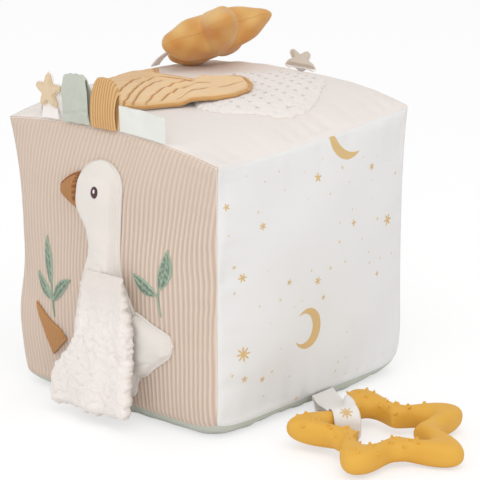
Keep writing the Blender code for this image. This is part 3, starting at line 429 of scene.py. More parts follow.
def mattRubber(name, colour, deep):  # slow mottling, a fine grain and a little shine
    material, tree, shader, place = newMaterial(name)
    mottle = addNode(tree, "TexNoise", {"Vector": place, "Scale": 60.0, "Detail": 3.0})
    mixed = mixColour(tree, maths(tree, "MULTIPLY", mottle.outputs[0], 0.5), colour, deep)
    grain = addNode(tree, "TexNoise", {"Vector": place, "Scale": 2400.0, "Detail": 2.0})
    tree.links.new(mixed, shader.inputs["Base Color"])
    rough = addNode(tree, "MapRange", {"Value": mottle.outputs[0], "To Min": 0.48, "To Max": 0.62})
    tree.links.new(rough.outputs[0], shader.inputs["Roughness"])
    bump = addNode(tree, "Bump", {"Height": grain.outputs[0], "Distance": 0.00004, "Strength": 0.6})
    tree.links.new(bump.outputs[0], shader.inputs["Normal"])
    shader.inputs["Specular IOR Level"].default_value = 0.35
    return material


toyRubber = mattRubber("toyRubber", srgb(226, 174, 70), srgb(208, 150, 52))


def hardPlastic(name, colour, roughness, clear=1.0):  # moulded plastic or film with a faint haze
    material, tree, shader, place = newMaterial(name)
    haze = addNode(tree, "TexNoise", {"Vector": place, "Scale": 180.0, "Detail": 3.0})
    tree.links.new(mixColour(tree, haze.outputs[0], colour, srgb(226, 226, 222)), shader.inputs["Base Color"])
    rough = addNode(
        tree, "MapRange", {"Value": haze.outputs[0], "To Min": roughness, "To Max": roughness + 0.15}
    )
    tree.links.new(rough.outputs[0], shader.inputs["Roughness"])
    shader.inputs["Alpha"].default_value = clear
    return material


rattlePlastic = hardPlastic("rattlePlastic", srgb(240, 240, 236), 0.3)
crinkleFilm = hardPlastic("crinkleFilm", srgb(236, 238, 238), 0.12, 0.55)
print("materials made")

# Camera at the photograph's angle, soft light and a pale floor
cameraView = {"azimuth": 43.2, "elevation": 16.6, "distance": 1.361, "focalPixels": 2503.0, "aside": 0.0165,
              "raised": 0.0773, "roll": 0.985}
lighting = {"world": 0.78, "key": 10.5, "keyPlace": (0.9, -0.7, 1.7), "keySize": 1.6, "fill": 2.5,
            "fillPlace": (-1.3, -1.2, 0.9), "fillSize": 1.5, "low": 4.2, "lowPlace": (0.9, -1.2, 0.15), "lowSize": 1.2,
            "floor": srgb(250, 250, 250)}


def makeCamera():
    azimuth, elevation = radians(cameraView["azimuth"]), radians(cameraView["elevation"])
    back = np.array([math.sin(azimuth) * math.cos(elevation), -math.cos(azimuth) * math.cos(elevation), math.sin(elevation)])
    right = np.array([math.cos(azimuth), math.sin(azimuth), 0.0])
    up = np.cross(back, right)
    centre = np.array([0.0, 0.0, 0.075]) + right * cameraView["aside"] + up * (cameraView["raised"] - 0.075)
    roll = radians(cameraView["roll"])
    turnedRight = right * math.cos(roll) - up * math.sin(roll)
    turnedUp = up * math.cos(roll) + right * math.sin(roll)
    camera = bpy.data.objects.new("camera", bpy.data.cameras.new("camera"))
    bpy.context.scene.collection.objects.link(camera)
    matrix = np.eye(4)
    matrix[:3, 0], matrix[:3, 1], matrix[:3, 2] = turnedRight, turnedUp, back
    matrix[:3, 3] = centre + back * cameraView["distance"]
    camera.matrix_world = matrix.T
    camera.data.sensor_width = 36.0
    camera.data.lens = cameraView["focalPixels"] * 36.0 / 480
    camera.data.clip_end = 20.0
    bpy.context.scene.camera = camera


def makeLamp(name, power, place, size):
    lamp = bpy.data.objects.new(name, bpy.data.lights.new(name, "AREA"))
    lamp.data.energy, lamp.data.size = power, size
    lamp.location = place
    direction = -np.array(place) + np.array([0.0, 0.0, 0.08])
    lamp.rotation_mode = "QUATERNION"
    lamp.rotation_quaternion = Vector(direction).to_track_quat("-Z", "Y")
    bpy.context.scene.collection.objects.link(lamp)


def makeWorld():
    world = bpy.data.worlds.new("paleStudio")
    bpy.context.scene.world = world
    world.use_nodes = True
    tree = world.node_tree
    tree.nodes.clear()
    seen = addNode(tree, "LightPath").outputs
    plain = maths(tree, "MAXIMUM", seen["Is Camera Ray"], seen["Is Glossy Ray"])
    plain = maths(tree, "MAXIMUM", plain, seen["Is Transmission Ray"])
    light = addNode(tree, "Background", {"Color": (1, 1, 1, 1), "Strength": lighting["world"]})
    shown = addNode(tree, "Background", {"Color": (1, 1, 1, 1), "Strength": 1.0})
    both = addNode(tree, "MixShader", {0: plain, 1: light.outputs[0], 2: shown.outputs[0]})
    addNode(tree, "OutputWorld", {"Surface": both.outputs[0]})


def makeFloor():
    size, below = 6.0, -0.0004
    mesh = bpy.data.meshes.new("floor")
    corners = [(x * size, y * size, below) for x, y in ((-1, -1), (1, -1), (1, 1), (-1, 1))]
    mesh.from_pydata(corners, [], [(0, 1, 2, 3)])
    material = bpy.data.materials.new("paleFloor")
    material.use_nodes = True
    tree = material.node_tree
    tree.nodes.clear()
    seen = addNode(tree, "LightPath").outputs["Is Camera Ray"]
    whole = addNode(tree, "BsdfDiffuse", {"Color": lighting["floor"]})
    half = addNode(tree, "BsdfDiffuse", {"Color": (0.42, 0.42, 0.42, 1)})
    glow = addNode(tree, "Emission", {"Color": (1, 1, 1, 1), "Strength": 0.6})
    lifted = addNode(tree, "AddShader", {0: half.outputs[0], 1: glow.outputs[0]})
    both = addNode(tree, "MixShader", {0: seen, 1: whole.outputs[0], 2: lifted.outputs[0]})
    addNode(tree, "OutputMaterial", {"Surface": both.outputs[0]})
    mesh.materials.append(material)
    floor = bpy.data.objects.new("floor", mesh)
    bpy.context.scene.collection.objects.link(floor)


makeCamera()
makeWorld()
makeFloor()
for lamp in ("key", "fill", "low"):
    makeLamp(lamp + "Lamp", lighting[lamp], lighting[lamp + "Place"], lighting[lamp + "Size"])
bpy.context.scene.view_settings.view_transform = "Standard"
print("camera, light and floor made")

# The block's skin: one formula for all six panels, as in the solids
block = {"width": 0.150, "bottomSeam": 0.0055, "topSeam": 0.1515, "sideCrown": 0.0065, "topCrown": 0.0065,
         "baseCrown": 0.0110, "cornerDraw": 0.0026, "drawSlant": 0.35, "lean": 0.0018, "edgeBow": 0.0015,
         "topArch": 0.0050, "topRise": 0.0020, "rightSag": 0.0100, "sagPower": 6, "rightDrop": 0.0032,
         "baseArch": 0.0010, "baseTuck": 0.0035, "baseLift": 0.0023, "basePower": 8,
         "crownPower": 2.6, "blendPower": 1.6, "panel": 0.0016, "seamGap": 0.0004,
         # each panel's flat size, cut to the seams
         "cut": {"front": (0.146, 0.148), "left": (0.146, 0.148), "back": (0.148, 0.149), "right": (0.142, 0.144),
                 "top": (0.153, 0.153), "bottom": (0.154, 0.154)},
         "seamDepth": 0.0009, "seamWidth": 0.0016, "pucker": 0.00055, "puckerLength": 0.013, "puckerFade": 0.011,
         "slack": 0.0007, "slackLength": 0.060,
         # a slack lump low on the edge between the goose panel and the left one: its size and how far it spreads
         "lumpLeft": 0.0032, "lumpAhead": 0.0010, "lumpLevel": -0.50, "lumpSpread": (0.16, 0.35, 0.26)}
ribs = {"pitch": 0.00290, "height": 0.00034, "sharpness": 1.4, "wander": 0.0005, "wanderLength": 0.040,
        "bendFrom": 0.085, "bend": 2.4, "faint": 0.45}
half = block["width"] / 2
halfHeight = (block["topSeam"] - block["bottomSeam"]) / 2


def blockPoint(a, b, c, inset=0.0):
    # a cube from -1 to 1: each side bows out by crown x swell of its two other coordinates, drawn in at the corners
    a, b, c = np.broadcast_arrays(np.asarray(a, float), np.asarray(b, float), np.asarray(c, float))
    swellA, swellB, swellC = (1 - np.abs(t) ** block["crownPower"] for t in (a, b, c))
    flatA, flatB = (1 - np.abs(t) ** block["basePower"] for t in (a, b))
    reach = half - inset
    corner, right = np.abs(a * b) ** block["basePower"], np.clip(a, 0, 1)
    draw = block["cornerDraw"] * (1 - block["drawSlant"] * (a + b) / 2) * swellC
    tuck = block["baseTuck"] * corner * np.clip(-c, 0, 1) ** block["basePower"]
    lean = block["lean"] * (1 + a) / 2 * (1 + c) / 2
    x = a * (reach + block["sideCrown"] * swellB * swellC - draw * b**2 + block["edgeBow"] * c**2 * swellB - tuck) + lean
    y = b * (reach + block["sideCrown"] * swellA * swellC - draw * a**2 + block["edgeBow"] * c**2 * swellA - tuck) + lean
    along = a**2 * swellB + b**2 * swellA
    sag = block["rightSag"] * right ** block["sagPower"] * swellB + block["rightDrop"] * right**2 * b**2
    top = block["topCrown"] * swellA * swellB + block["topArch"] * along + block["topRise"] * b - sag
    base = block["baseCrown"] * flatA * flatB - block["baseArch"] * along - block["baseLift"] * corner * (1 + a) / 2
    wide, deep, tall = block["lumpSpread"]
    lump = np.exp(-(((a + 1) / wide) ** 2) - ((b + 1) / deep) ** 2 - ((c - block["lumpLevel"]) / tall) ** 2)
    x, y = x - block["lumpLeft"] * lump, y - block["lumpAhead"] * lump
    upper, lower = np.clip(c, 0, 1) ** block["blendPower"], np.clip(-c, 0, 1) ** block["blendPower"]
    z = block["bottomSeam"] + halfHeight + c * (halfHeight - inset) + upper * top - lower * base
    return np.stack([x, y, np.maximum(z, inset)], axis=-1)


sides = {
    "front": (lambda s, t: (s, -1.0, t), 0, 2, 1),
    "right": (lambda s, t: (1.0, s, t), 1, 2, 1),
    "back": (lambda s, t: (-s, 1.0, t), 0, 2, -1),
    "left": (lambda s, t: (-1.0, -s, t), 1, 2, -1),
    "top": (lambda s, t: (s, t, 1.0), 0, 1, 1),
    "bottom": (lambda s, t: (s, -t, -1.0), 0, 1, 1),
}


def skinFrame(side, s, t):  # the point of a panel and its outward direction, from four close neighbours
    face, step = sides[side][0], 0.004
    here = blockPoint(*face(s, t))
    across = blockPoint(*face(s + step, t)) - blockPoint(*face(s - step, t))
    along = blockPoint(*face(s, t + step)) - blockPoint(*face(s, t - step))
    return here, unit(np.cross(across, along))


def panelRelief(side, s, t):
    # height over the plain skin: turned in at the seams, puckers that fade away from them, and a slow slack swell
    seed = 10 * list(sides).index(side)
    edgeS, edgeT = (1 - np.abs(s)) * half, (1 - np.abs(t)) * half
    edge = np.minimum(edgeS, edgeT)
    turned = -block["seamDepth"] * bell(edge, block["seamWidth"])
    p, q = s * half, t * half
    free = fadeIn(edge, 0.0, 0.006)
    fades, length = block["puckerFade"], block["puckerLength"]
    alongT = np.where(t > 0, ripple(p, 0.12 * q, seed + 2, length), ripple(p, 0.12 * q, seed + 1, length))
    alongS = np.where(s > 0, ripple(0.12 * p, q, seed + 5, length), ripple(0.12 * p, q, seed + 4, length))
    puckerT = alongT * np.exp(-edgeT / fades) * fadeIn(edgeS, 0, 0.012)
    puckerS = alongS * np.exp(-edgeS / fades) * fadeIn(edgeT, 0, 0.012)
    slack = ripple(p, q, seed + 7, block["slackLength"]) * block["slack"]
    return turned + free * (block["pucker"] * (puckerT + puckerS) + slack)


def ridge(x, q):  # 1 on the top of a rib and 0 between two ribs
    wander = ribs["wander"] * ripple(x, q, 91, ribs["wanderLength"])
    bent = ribs["bend"] * np.maximum(q - ribs["bendFrom"], 0) ** 2
    line = (0.5 + 0.5 * np.cos(2 * pi * (x + wander - bent) / ribs["pitch"])) ** ribs["sharpness"]
    strength = 1 - ribs["faint"] * np.maximum(fadeIn(-x, 0.0, 0.06), fadeIn(q, 0.10, 0.14))
    return 0.5 + (line - 0.5) * strength


def onPanel(side, p, q, lift):
    # the point at lift over the panel's relief, p and q being its coordinates along the panel: the miss is corrected 8 times
    p, q = np.broadcast_arrays(p, q)
    face, first, second, sign = sides[side]
    reach = half if second == 1 else halfHeight
    s, t = p / half * sign, q / reach - (0 if second == 1 else 1 + block["bottomSeam"] / reach)
    for _ in range(8):
        found = blockPoint(*face(s, t))
        s = s + sign * (p - found[..., first]) / half
        t = t + (q - found[..., second]) / reach
    here, away = skinFrame(side, s, t)
    lifted = panelRelief(side, np.clip(s, -1, 1), np.clip(t, -1, 1)) + lift
    return here + away * np.asarray(lifted)[..., None]


def sewnSkin(side, p, q, lift, sink, wrap=False):  # a skin between two heights over a panel's relief
    return thickSkin(onPanel(side, p, q, lift), onPanel(side, p, q, sink), wrap)


def makePanel(side, material, columns, rows):
    share = 1 - block["seamGap"] / block["width"]
    k, m = np.linspace(-1, 1, columns), np.linspace(-1, 1, rows)
    if side != "front":
        k = k * (1.2 - 0.2 * k**2)
    m = m * (1.2 - 0.2 * m**2)
    s, t = np.meshgrid(k * share, m * share)
    here, away = skinFrame(side, s, t)
    relief = panelRelief(side, s, t)
    marks = {}
    if side == "front":
        # painted shade: the cloth's colour is darker in the valleys between the ribs
        marks["ridge"] = ridge(here[..., 0], here[..., 2])
        edge = np.minimum(1 - np.abs(s), 1 - np.abs(t)) * half
        relief = relief + ribs["height"] * marks["ridge"] * fadeIn(edge, 0.0, 0.003)
    outer = here + away * relief[..., None]
    outer[..., 2] = np.maximum(outer[..., 2], 0.0)
    inner = blockPoint(*sides[side][0](s, t), block["panel"])
    panel = addPiece(side + "Cloth", thickSkin(outer, inner), material, "block", [side + "_panel"],
                     pairs(s * half, t * half), marks)


makePanel("front", beigeRib, 461, 84)
makePanel("right", printedCotton, 160, 160)
makePanel("back", creamCotton, 100, 100)
makePanel("left", sageVelour, 100, 100)
makePanel("top", creamCotton, 110, 110)
makePanel("bottom", sageVelour, 100, 100)
print("six panels made")

# The gold print on the right panel: crescents, stars and specks, each a thin closed film on the cloth
# place y, height z, size and turn in degrees; sizes in metres
printed = {"film": 0.00014, "sink": 0.00014,
           # the crescents also have the angle to their tips and their thickness as a share of the radius
           "crescents": ((0.0235, 0.1457, 0.0138, -138, 86, 0.40), (-0.0120, 0.0478, 0.0109, -11, 142, 0.60)),
           "seam": 0.1460,
           "starScale": 0.84,
           "bigStars": ((0.0558, 0.0914, 0.0042, 5, 6), (-0.0572, 0.0447, 0.0052, 3, 8), (-0.0027, 0.1275, 0.0032, 10, 5),
                        (-0.0436, 0.1101, 0.0028, 30, 6), (0.0243, 0.0972, 0.0024, 0, 4), (0.0429, 0.1236, 0.0026, 20, 6),
                        (-0.0561, 0.0850, 0.0032, 4, 6), (-0.0042, 0.0720, 0.0029, 8, 6), (-0.0565, 0.0309, 0.0024, 15, 5),
                        (-0.0667, 0.1247, 0.0025, 40, 5), (0.0464, 0.0633, 0.0019, 0, 4), (0.0009, 0.0616, 0.0018, 20, 5),
                        (-0.0440, 0.0276, 0.0021, 10, 5), (-0.0260, 0.0765, 0.0021, 0, 5), (-0.0609, 0.0914, 0.0013, 0, 5)),
           "smallCount": 16, "smallSize": 0.0011, "speckCount": 34, "speckSize": 0.0007, "seed": 7, "margin": 0.009,
           "pale": 0.55}


def crescentSkin(y, z, size, turn, tipAngle, thick):
    # between a circle of radius 1 and the inner circle through its tips that leaves the thickness at the middle:
    # shift = ((1 - thick)^2 - 1) / (2 (1 - thick - cos tip)), inner radius = 1 - thick - shift
    t, w = grid(np.linspace(-1, 1, 41), np.linspace(0, 1, 9))
    tip, middle = radians(tipAngle), 1 - thick
    shift = (middle**2 - 1) / (2 * (middle - math.cos(tip)))
    shrink, inner = middle - shift, math.atan2(math.sin(tip), math.cos(tip) - shift)
    outerY, outerZ = size * np.cos(t * tip), size * np.sin(t * tip)
    innerY, innerZ = size * (shift + shrink * np.cos(t * inner)), size * shrink * np.sin(t * inner)
    flatY, flatZ = outerY + (innerY - outerY) * w, outerZ + (innerZ - outerZ) * w
    return printSkin(y, z, flatY, flatZ, turn)


def printSkin(y, z, flatY, flatZ, turn, wrap=False):
    heading = radians(turn)
    p = y + flatY * math.cos(heading) - flatZ * math.sin(heading)
    q = np.minimum(z + flatY * math.sin(heading) + flatZ * math.cos(heading), printed["seam"])
    return sewnSkin("right", p, q, printed["film"], -printed["sink"], wrap)


def starSkin(y, z, size, turn, points=4, waist=0.28, rings=5):
    # radius swings between the tip and the waist: r = size (waist + (1 - waist) |cos(points angle / 2)|^3)
    out, angle = grid(np.linspace(0, 1, rings), fullTurn(points * 6))
    radius = size * (waist + (1 - waist) * np.abs(np.cos(points * angle / 2)) ** 3) * out
    return printSkin(y, z, radius * np.cos(angle), radius * np.sin(angle), turn, wrap=True)


def makePrint():
    random = np.random.default_rng(printed["seed"])
    skins = [crescentSkin(*one) for one in printed["crescents"]]
    scale = printed["starScale"]
    skins += [starSkin(y, z, size * scale, turn, points, 0.30) for y, z, size, turn, points in printed["bigStars"]]
    taken = [one[:3] for one in printed["crescents"] + printed["bigStars"]]
    low, high = printed["margin"], block["topSeam"] - printed["margin"]
    for kind, points in (("small", 4), ("speck", 5)):
        count, size, placed = printed[kind + "Count"], printed[kind + "Size"], 0
        while placed < count:
            y, z = random.uniform(-half + low, half - low), random.uniform(low, high)
            grown = size * random.uniform(0.55, 1.25)
            if all(math.hypot(y - a, z - b) > c + grown + 0.003 for a, b, c in taken):
                skins.append(starSkin(y, z, grown, random.uniform(0, 90), points, 0.34, 2))
                taken.append((y, z, grown))
                placed += 1
    named = len(printed["crescents"]) + len(printed["bigStars"])
    pale = [np.full(len(points), 0.0 if k < named else printed["pale"]) for k, (points, _) in enumerate(skins)]
    piece = addPiece("goldPrint", joinSkins(skins), goldPrint, "block",
                     marks={"pale": np.concatenate(pale)})
    flatten(piece)


def flatten(piece):  # a pattern's place on its own cloth, read from the mesh: y and z of the panel
    mesh = piece.data
    layer = mesh.uv_layers.new(name="cloth")
    corner = np.empty(len(mesh.loops), np.int32)
    mesh.loops.foreach_get("vertex_index", corner)
    place = np.empty(len(mesh.vertices) * 3, np.float32)
    mesh.vertices.foreach_get("co", place)
    layer.data.foreach_set("uv", place.reshape(-1, 3)[corner][:, 1:].ravel())


makePrint()
print("print made")

# The goose: padded body, tail, beak and foot on the front panel
goose = {"height": 0.1310, "foot": 0.0080, "centre": 0.0020, "headHalf": 0.0175, "plump": 0.0068, "hem": 0.0011,
         "hemWidth": 0.0016, "groove": 0.0005, "gap": 0.0006, "sink": 0.0002, "curlTop": 0.108, "curlCell": 0.0034,
         "curl": 0.0007, "crown": 0.91,
         "body": ((0.00, -0.06, 0.00), (0.03, -0.06, 0.76), (0.10, -0.04, 1.16), (0.22, -0.02, 1.36), (0.34, 0.10, 1.34),
                  (0.45, 0.06, 1.04), (0.54, 0.01, 0.76), (0.64, 0.04, 0.64), (0.72, 0.01, 0.68), (0.80, -0.14, 0.88),
                  (0.88, -0.12, 0.91), (0.95, -0.06, 0.91), (1.00, -0.04, 0.91))}
tail = {"root": 0.0285, "tip": 0.0475, "middle": 0.0440, "halfHeight": 0.0195, "plump": 0.0052,
        "shape": ((0.0, 0.0, 0.95), (0.2, 0.01, 0.85), (0.42, 0.05, 0.66), (0.65, 0.09, 0.50), (0.82, 0.12, 0.37),
                  (0.94, 0.16, 0.22), (1.0, 0.18, 0.0))}
beak = {"length": 0.0130, "middle": 0.1205, "halfHeight": 0.0108, "plump": 0.0034, "ribPitch": 0.0013, "rib": 0.00022,
        "stitchLift": 0.0016, "stitch": 0.0016, "stitchShown": 0.78, "threadRadius": 0.00032,
        "shape": ((0.0, 0.0, 1.0), (0.35, -0.02, 0.76), (0.65, -0.06, 0.50), (0.88, -0.10, 0.26), (1.0, -0.12, 0.0))}
foot = {"tip": (-0.0550, 0.0510), "heel": (-0.0355, 0.0295), "half": 0.0085, "thickness": 0.0012, "ribPitch": 0.0016,
        "shape": ((0.0, 0.0, 0.0), (0.2, 0.0, 0.24), (0.5, 0.05, 0.50), (0.8, 0.10, 0.88), (1.0, 0.0, 1.0))}


def bodyHalf(place):  # half the goose's width at a share of its height: the table, and above the eye a half circle
    radius = goose["crown"] * goose["headHalf"]
    crown = 1 - radius / goose["height"]
    circle = goose["crown"] * np.sqrt(np.clip(1 - ((place - crown) * goose["height"] / radius) ** 2, 0, 1))
    table = np.maximum(smoothTable(goose["body"], place)[..., 1], 0)
    return goose["headHalf"] * np.where(place > crown, circle, table)


def hemHeight(inside):  # a sewn edge rises fast and dips at the seam line
    return goose["hem"] * roundEdge(inside, 0.0006) - goose["groove"] * bell(inside - goose["hemWidth"], 0.0005)


def hemmed(across, halfWidth, plump):  # the hem, then the stuffing swells to the middle
    inside = (1 - np.abs(across)) * halfWidth
    full = plump * np.sqrt(np.clip(1 - across**2, 0, 1)) * fadeIn(inside, 0.0006, 0.0045)
    return hemHeight(inside) + full


def bodySpot(place, across):
    centre = goose["centre"] + goose["headHalf"] * smoothTable(goose["body"], place)[..., 0]
    return centre + bodyHalf(place) * across, goose["foot"] + goose["height"] * place


def bodyLift(place, across):
    halfWidth = bodyHalf(place)
    fullness = roundEdge(halfWidth, goose["headHalf"]) * fadeIn(np.minimum(place, 1 - place), 0, 0.09)
    x, z = bodySpot(place, across)
    soft = 0.0006 * ripple(x, z, 41, 0.022) * (1 - across**2) * fadeIn(goose["height"] * (1 - place), 0.0, 0.02)
    curly = fadeIn(-z, -goose["curlTop"], -goose["curlTop"] + 0.028) * fadeIn((1 - np.abs(across)) * halfWidth, 0, 0.002)
    curl = curls(x, z, 43, goose["curlCell"])
    ends = np.minimum(place, 1 - place) * goose["height"]
    lift = hemmed(across, halfWidth, goose["plump"] * fullness) * roundEdge(ends, 0.0008)
    return lift + soft + goose["curl"] * curly * (curl - 0.4), curl * curly + (1 - curly) * 0.6


def makeBody():
    rows = 0.5 - 0.5 * np.cos(np.linspace(0, pi, 190))
    across = crowded(71)
    place, across = grid(rows, across)
    x, z = bodySpot(place, across)
    lift, curl = bodyLift(place, across)
    skin = sewnSkin("front", x, z, goose["gap"] + lift, goose["gap"] - goose["sink"])
    body = addPiece("gooseBody", skin, whiteVelour, "block", ["goose_body"])


def sideSpot(look, place, across, first, last):
    value = smoothTable(look["shape"], place)
    width = look["halfHeight"] * np.maximum(value[..., 1], 0)
    if look is tail:
        width = width * roundEdge(1 - place, 0.10) ** 0.6
    z = look["middle"] + look["halfHeight"] * value[..., 0] + width * across
    start = first(z) if callable(first) else first
    return start + (last - start) * place, z, width


def makeTail():
    place, across = grid(np.sin(np.linspace(0, pi / 2, 70)), crowded(61))
    x, z, width = sideSpot(tail, place, across, tail["root"] - 0.004, tail["tip"])
    ends = (1 - place) * (tail["tip"] - tail["root"])
    edge = np.minimum(width * (1 - np.abs(across)), ends)
    swell = tail["plump"] * roundEdge(edge, 0.012) * fadeIn(edge, 0.0006, 0.004)
    fold = 0.0007 * bell(z - 0.036 - 0.1 * (x - 0.03), 0.0011) * fadeIn(edge, 0.002, 0.006)
    soft = 0.0005 * ripple(x, z, 53, 0.018) * fadeIn(edge, 0.001, 0.006)
    lift = hemHeight(edge) + swell - fold + soft
    skin = sewnSkin("front", x, z, goose["gap"] + lift, goose["gap"] - goose["sink"])
    piece = addPiece("gooseTail", skin, whiteVelour, "block", ["goose_tail"])


def headLeft(z):  # the left edge of the goose's head at a height
    place = (z - goose["foot"]) / goose["height"]
    return bodySpot(place, -1.0 + 0 * z)[0] - 0.0002


def makeBeak():
    place, across = grid(np.linspace(0, 1, 60), crowded(61))
    tipX = float(headLeft(np.array(beak["middle"]))) - beak["length"]
    x, z, width = sideSpot(beak, place, across, headLeft, tipX)
    edge = np.minimum(width * (1 - np.abs(across)), (1 - place) * beak["length"])
    groove = (0.5 + 0.5 * np.cos(2 * pi * (x + 0.35 * z) / beak["ribPitch"])) ** 1.5
    inside = fadeIn(edge, 0.0014, 0.0022)
    rim = 0.0013 * roundEdge(edge, 0.0005) * (1 - inside)
    swell = (0.0008 + beak["plump"] * roundEdge(edge, 0.008)) * inside
    lift = rim + swell + beak["rib"] * groove * inside
    skin = sewnSkin("front", x, z, goose["gap"] + lift, goose["gap"] - goose["sink"])
    piece = addPiece("gooseBeak", skin, beakRib, "block", ["goose_beak"],
                     # painted shade in the grooves between the beak's ribs
                     pairs(x, z), {"ridge": np.clip(groove * inside, 0, 1)})
    turn = np.concatenate([np.linspace(1, 0, 40), -np.linspace(0, 1, 40)[1:]])
    line = 1 - np.abs(turn)
    edgeX, edgeZ, _ = sideSpot(beak, line * 0.93, 0.90 * np.where(turn < 0, 1.0, -1.0) * np.ones_like(turn), headLeft, tipX)
    addStitches("beakStitches", np.stack([edgeX, edgeZ], axis=-1), beakThread)


def addStitches(name, line, material):  # a thread running along a line on the front panel, sunk between its stitches
    length, radius, shown = beak["stitch"], beak["threadRadius"], beak["stitchShown"]
    travelled = travel(line)
    count = max(2, int(travelled[-1] / length))
    skins = []
    for k in range(count):
        reach = (k + np.linspace(0, shown, 6)) * travelled[-1] / count
        p, q = np.interp(reach, travelled, line[:, 0]), np.interp(reach, travelled, line[:, 1])
        arch = beak["stitchLift"] + radius * 1.2 * np.sin(np.linspace(0, pi, 6))
        skins.append(threadSkin(lambda lift: onPanel("front", p, q, lift), arch, radius, radius))
    return addPiece(name, joinSkins(skins), material, "block")


def makeFoot():
    place, across = grid(np.linspace(0, 1, 50), np.linspace(-1, 1, 31))
    value = smoothTable(foot["shape"], place)
    tip, heel = np.array(foot["tip"]), np.array(foot["heel"])
    run = heel - tip
    aside = np.array([-run[1], run[0]]) / np.linalg.norm(run)
    offset = foot["half"] * (value[..., 0] + np.maximum(value[..., 1], 0) * across)
    x = tip[0] + run[0] * place + aside[0] * offset
    z = tip[1] + run[1] * place + aside[1] * offset
    edge = foot["half"] * np.maximum(value[..., 1], 0) * (1 - np.abs(across))
    lift = 0.0004 + foot["thickness"] * roundEdge(edge, 0.0012) + 0.00012 * np.cos(2 * pi * x / foot["ribPitch"])
    # painted shade: stripes darker between the foot's ribs
    marks = 0.62 + 0.3 * np.cos(2 * pi * x / foot["ribPitch"])
    skin = sewnSkin("front", x, z, goose["gap"] + lift, goose["gap"])
    addPiece("gooseFoot", skin, beakRib, "block", ["goose_foot"],
             pairs(x, z), {"ridge": marks})


# The embroidered eye, on the head's own swell
eye = {"x": 0.0032, "z": 0.1232, "halfWidth": 0.0023, "halfHeight": 0.0031, "height": 0.0006}


def onHead(x, z, lift):
    place = (z - goose["foot"]) / goose["height"]
    centre = goose["centre"] + goose["headHalf"] * smoothTable(goose["body"], place)[..., 0]
    across = (x - centre) / bodyHalf(place)
    return onPanel("front", x, z, goose["gap"] + bodyLift(place, across)[0] + lift)


def satinOval(name, x, z, halfWidth, halfHeight, height, material):
    out, turn = grid(np.linspace(0, 1, 9), fullTurn(48))
    p, q = x + halfWidth * out * np.cos(turn), z + halfHeight * out * np.sin(turn)
    lift = height * np.sqrt(np.clip(1 - out**4, 0, 1))
    addPiece(name, thickSkin(onHead(p, q, lift), onHead(p, q, -0.0004), wrap=True), material, "block",
             uv=pairs(q, p))


makeBody()
makeTail()
makeBeak()
makeFoot()
satinOval("gooseEye", eye["x"], eye["z"], eye["halfWidth"], eye["halfHeight"], eye["height"], eyeThread)
satinOval("gooseEyeGlint", eye["x"] + 0.0002, eye["z"] + 0.0006, 0.0008, 0.0013, eye["height"] + 0.0002, glintThread)
print("goose made")

# Two embroidered leaf sprigs beside the goose; every leaf from its foot to its tip, in x and z
sprigs = {"stemRadius": 0.00045, "leafHeight": 0.0007, "threadPitch": 0.0009, "lift": 0.0005, "vein": 0.0003,
          "stems": (((-0.0388, 0.0455), (-0.0402, 0.0510), (-0.0407, 0.0570)),
                    ((-0.0407, 0.0540), (-0.0418, 0.0610), (-0.0425, 0.0690)),
                    ((0.0407, 0.0620), (0.0400, 0.0680), (0.0388, 0.0745)),
                    ((0.0388, 0.0720), (0.0405, 0.0780), (0.0415, 0.0830))),
          "leaves": ((-0.0420, 0.0630, -0.0450, 0.0895, 0.0030, 0.06), (-0.0410, 0.0550, -0.0545, 0.0680, 0.0030, 0.14),
                     (-0.0398, 0.0545, -0.0248, 0.0695, 0.0034, 0.16), (0.0405, 0.0770, 0.0446, 0.0985, 0.0040, -0.10),
                     (0.0385, 0.0735, 0.0232, 0.0830, 0.0034, 0.12))}


def leafSkin(x, z, tipX, tipZ, width, bend):
    # along: foot to tip; across: half width = width x sin(pi along^0.8); a side bend of bend x length at the middle
    along, across = grid(np.linspace(0, 1, 70), np.linspace(-1, 1, 27))
    run = np.array([tipX - x, tipZ - z])
    aside = np.array([-run[1], run[0]]) / np.linalg.norm(run)
    halfWidth = width * np.sin(pi * along**0.85) ** 0.9
    offset = halfWidth * across + bend * np.linalg.norm(run) * np.sin(pi * along) * 0.5
    p, q = x + run[0] * along + aside[0] * offset, z + run[1] * along + aside[1] * offset
    travelled = along * np.linalg.norm(run)
    thread = np.abs(np.sin(pi * (travelled - 0.8 * np.abs(across) * halfWidth) / sprigs["threadPitch"]))
    vein = bell(across * halfWidth, 0.0004)
    swell = np.sqrt(np.clip(1 - across**4, 0, 1)) * (0.8 + 0.2 * thread)
    lift = sprigs["lift"] + sprigs["leafHeight"] * swell - sprigs["vein"] * vein
    speckle = 0.8 * fadeIn(ripple(p, q, 59, 0.0030), 0.1, 0.9)
    rim = np.clip(fadeIn(np.abs(across), 0.62, 0.84) + vein * 0.9 + (along > 0.94) + speckle, 0, 1)
    uv = pairs(travelled - 0.8 * np.abs(across) * halfWidth, offset)
    return sewnSkin("front", p, q, lift, -0.0001), np.tile(uv, (2, 1)), np.tile(rim.ravel(), 2)


def makeSprigs():
    made = [leafSkin(*leaf) for leaf in sprigs["leaves"]]
    skins, uv, rim = zip(*made)
    addPiece("sprigLeaves", joinSkins(skins), leafThread, "block", uv=np.concatenate(uv),
             marks={"line": np.concatenate(rim)})
    stems = []
    for line in sprigs["stems"]:
        line = np.array(line)
        p, q = (np.interp(np.linspace(0, 1, 24), np.linspace(0, 1, len(line)), line[:, k]) for k in range(2))
        radius = sprigs["stemRadius"]
        stems.append(threadSkin(lambda lift: onPanel("front", p, q, lift), sprigs["lift"], radius, radius, 8))
    skin = joinSkins(stems)
    addPiece("sprigStems", skin, leafThread, "block", uv=skin[0][:, [2, 0]],
             marks={"line": np.full(len(skin[0]), 0.8)})


makeSprigs()
print("sprigs made")

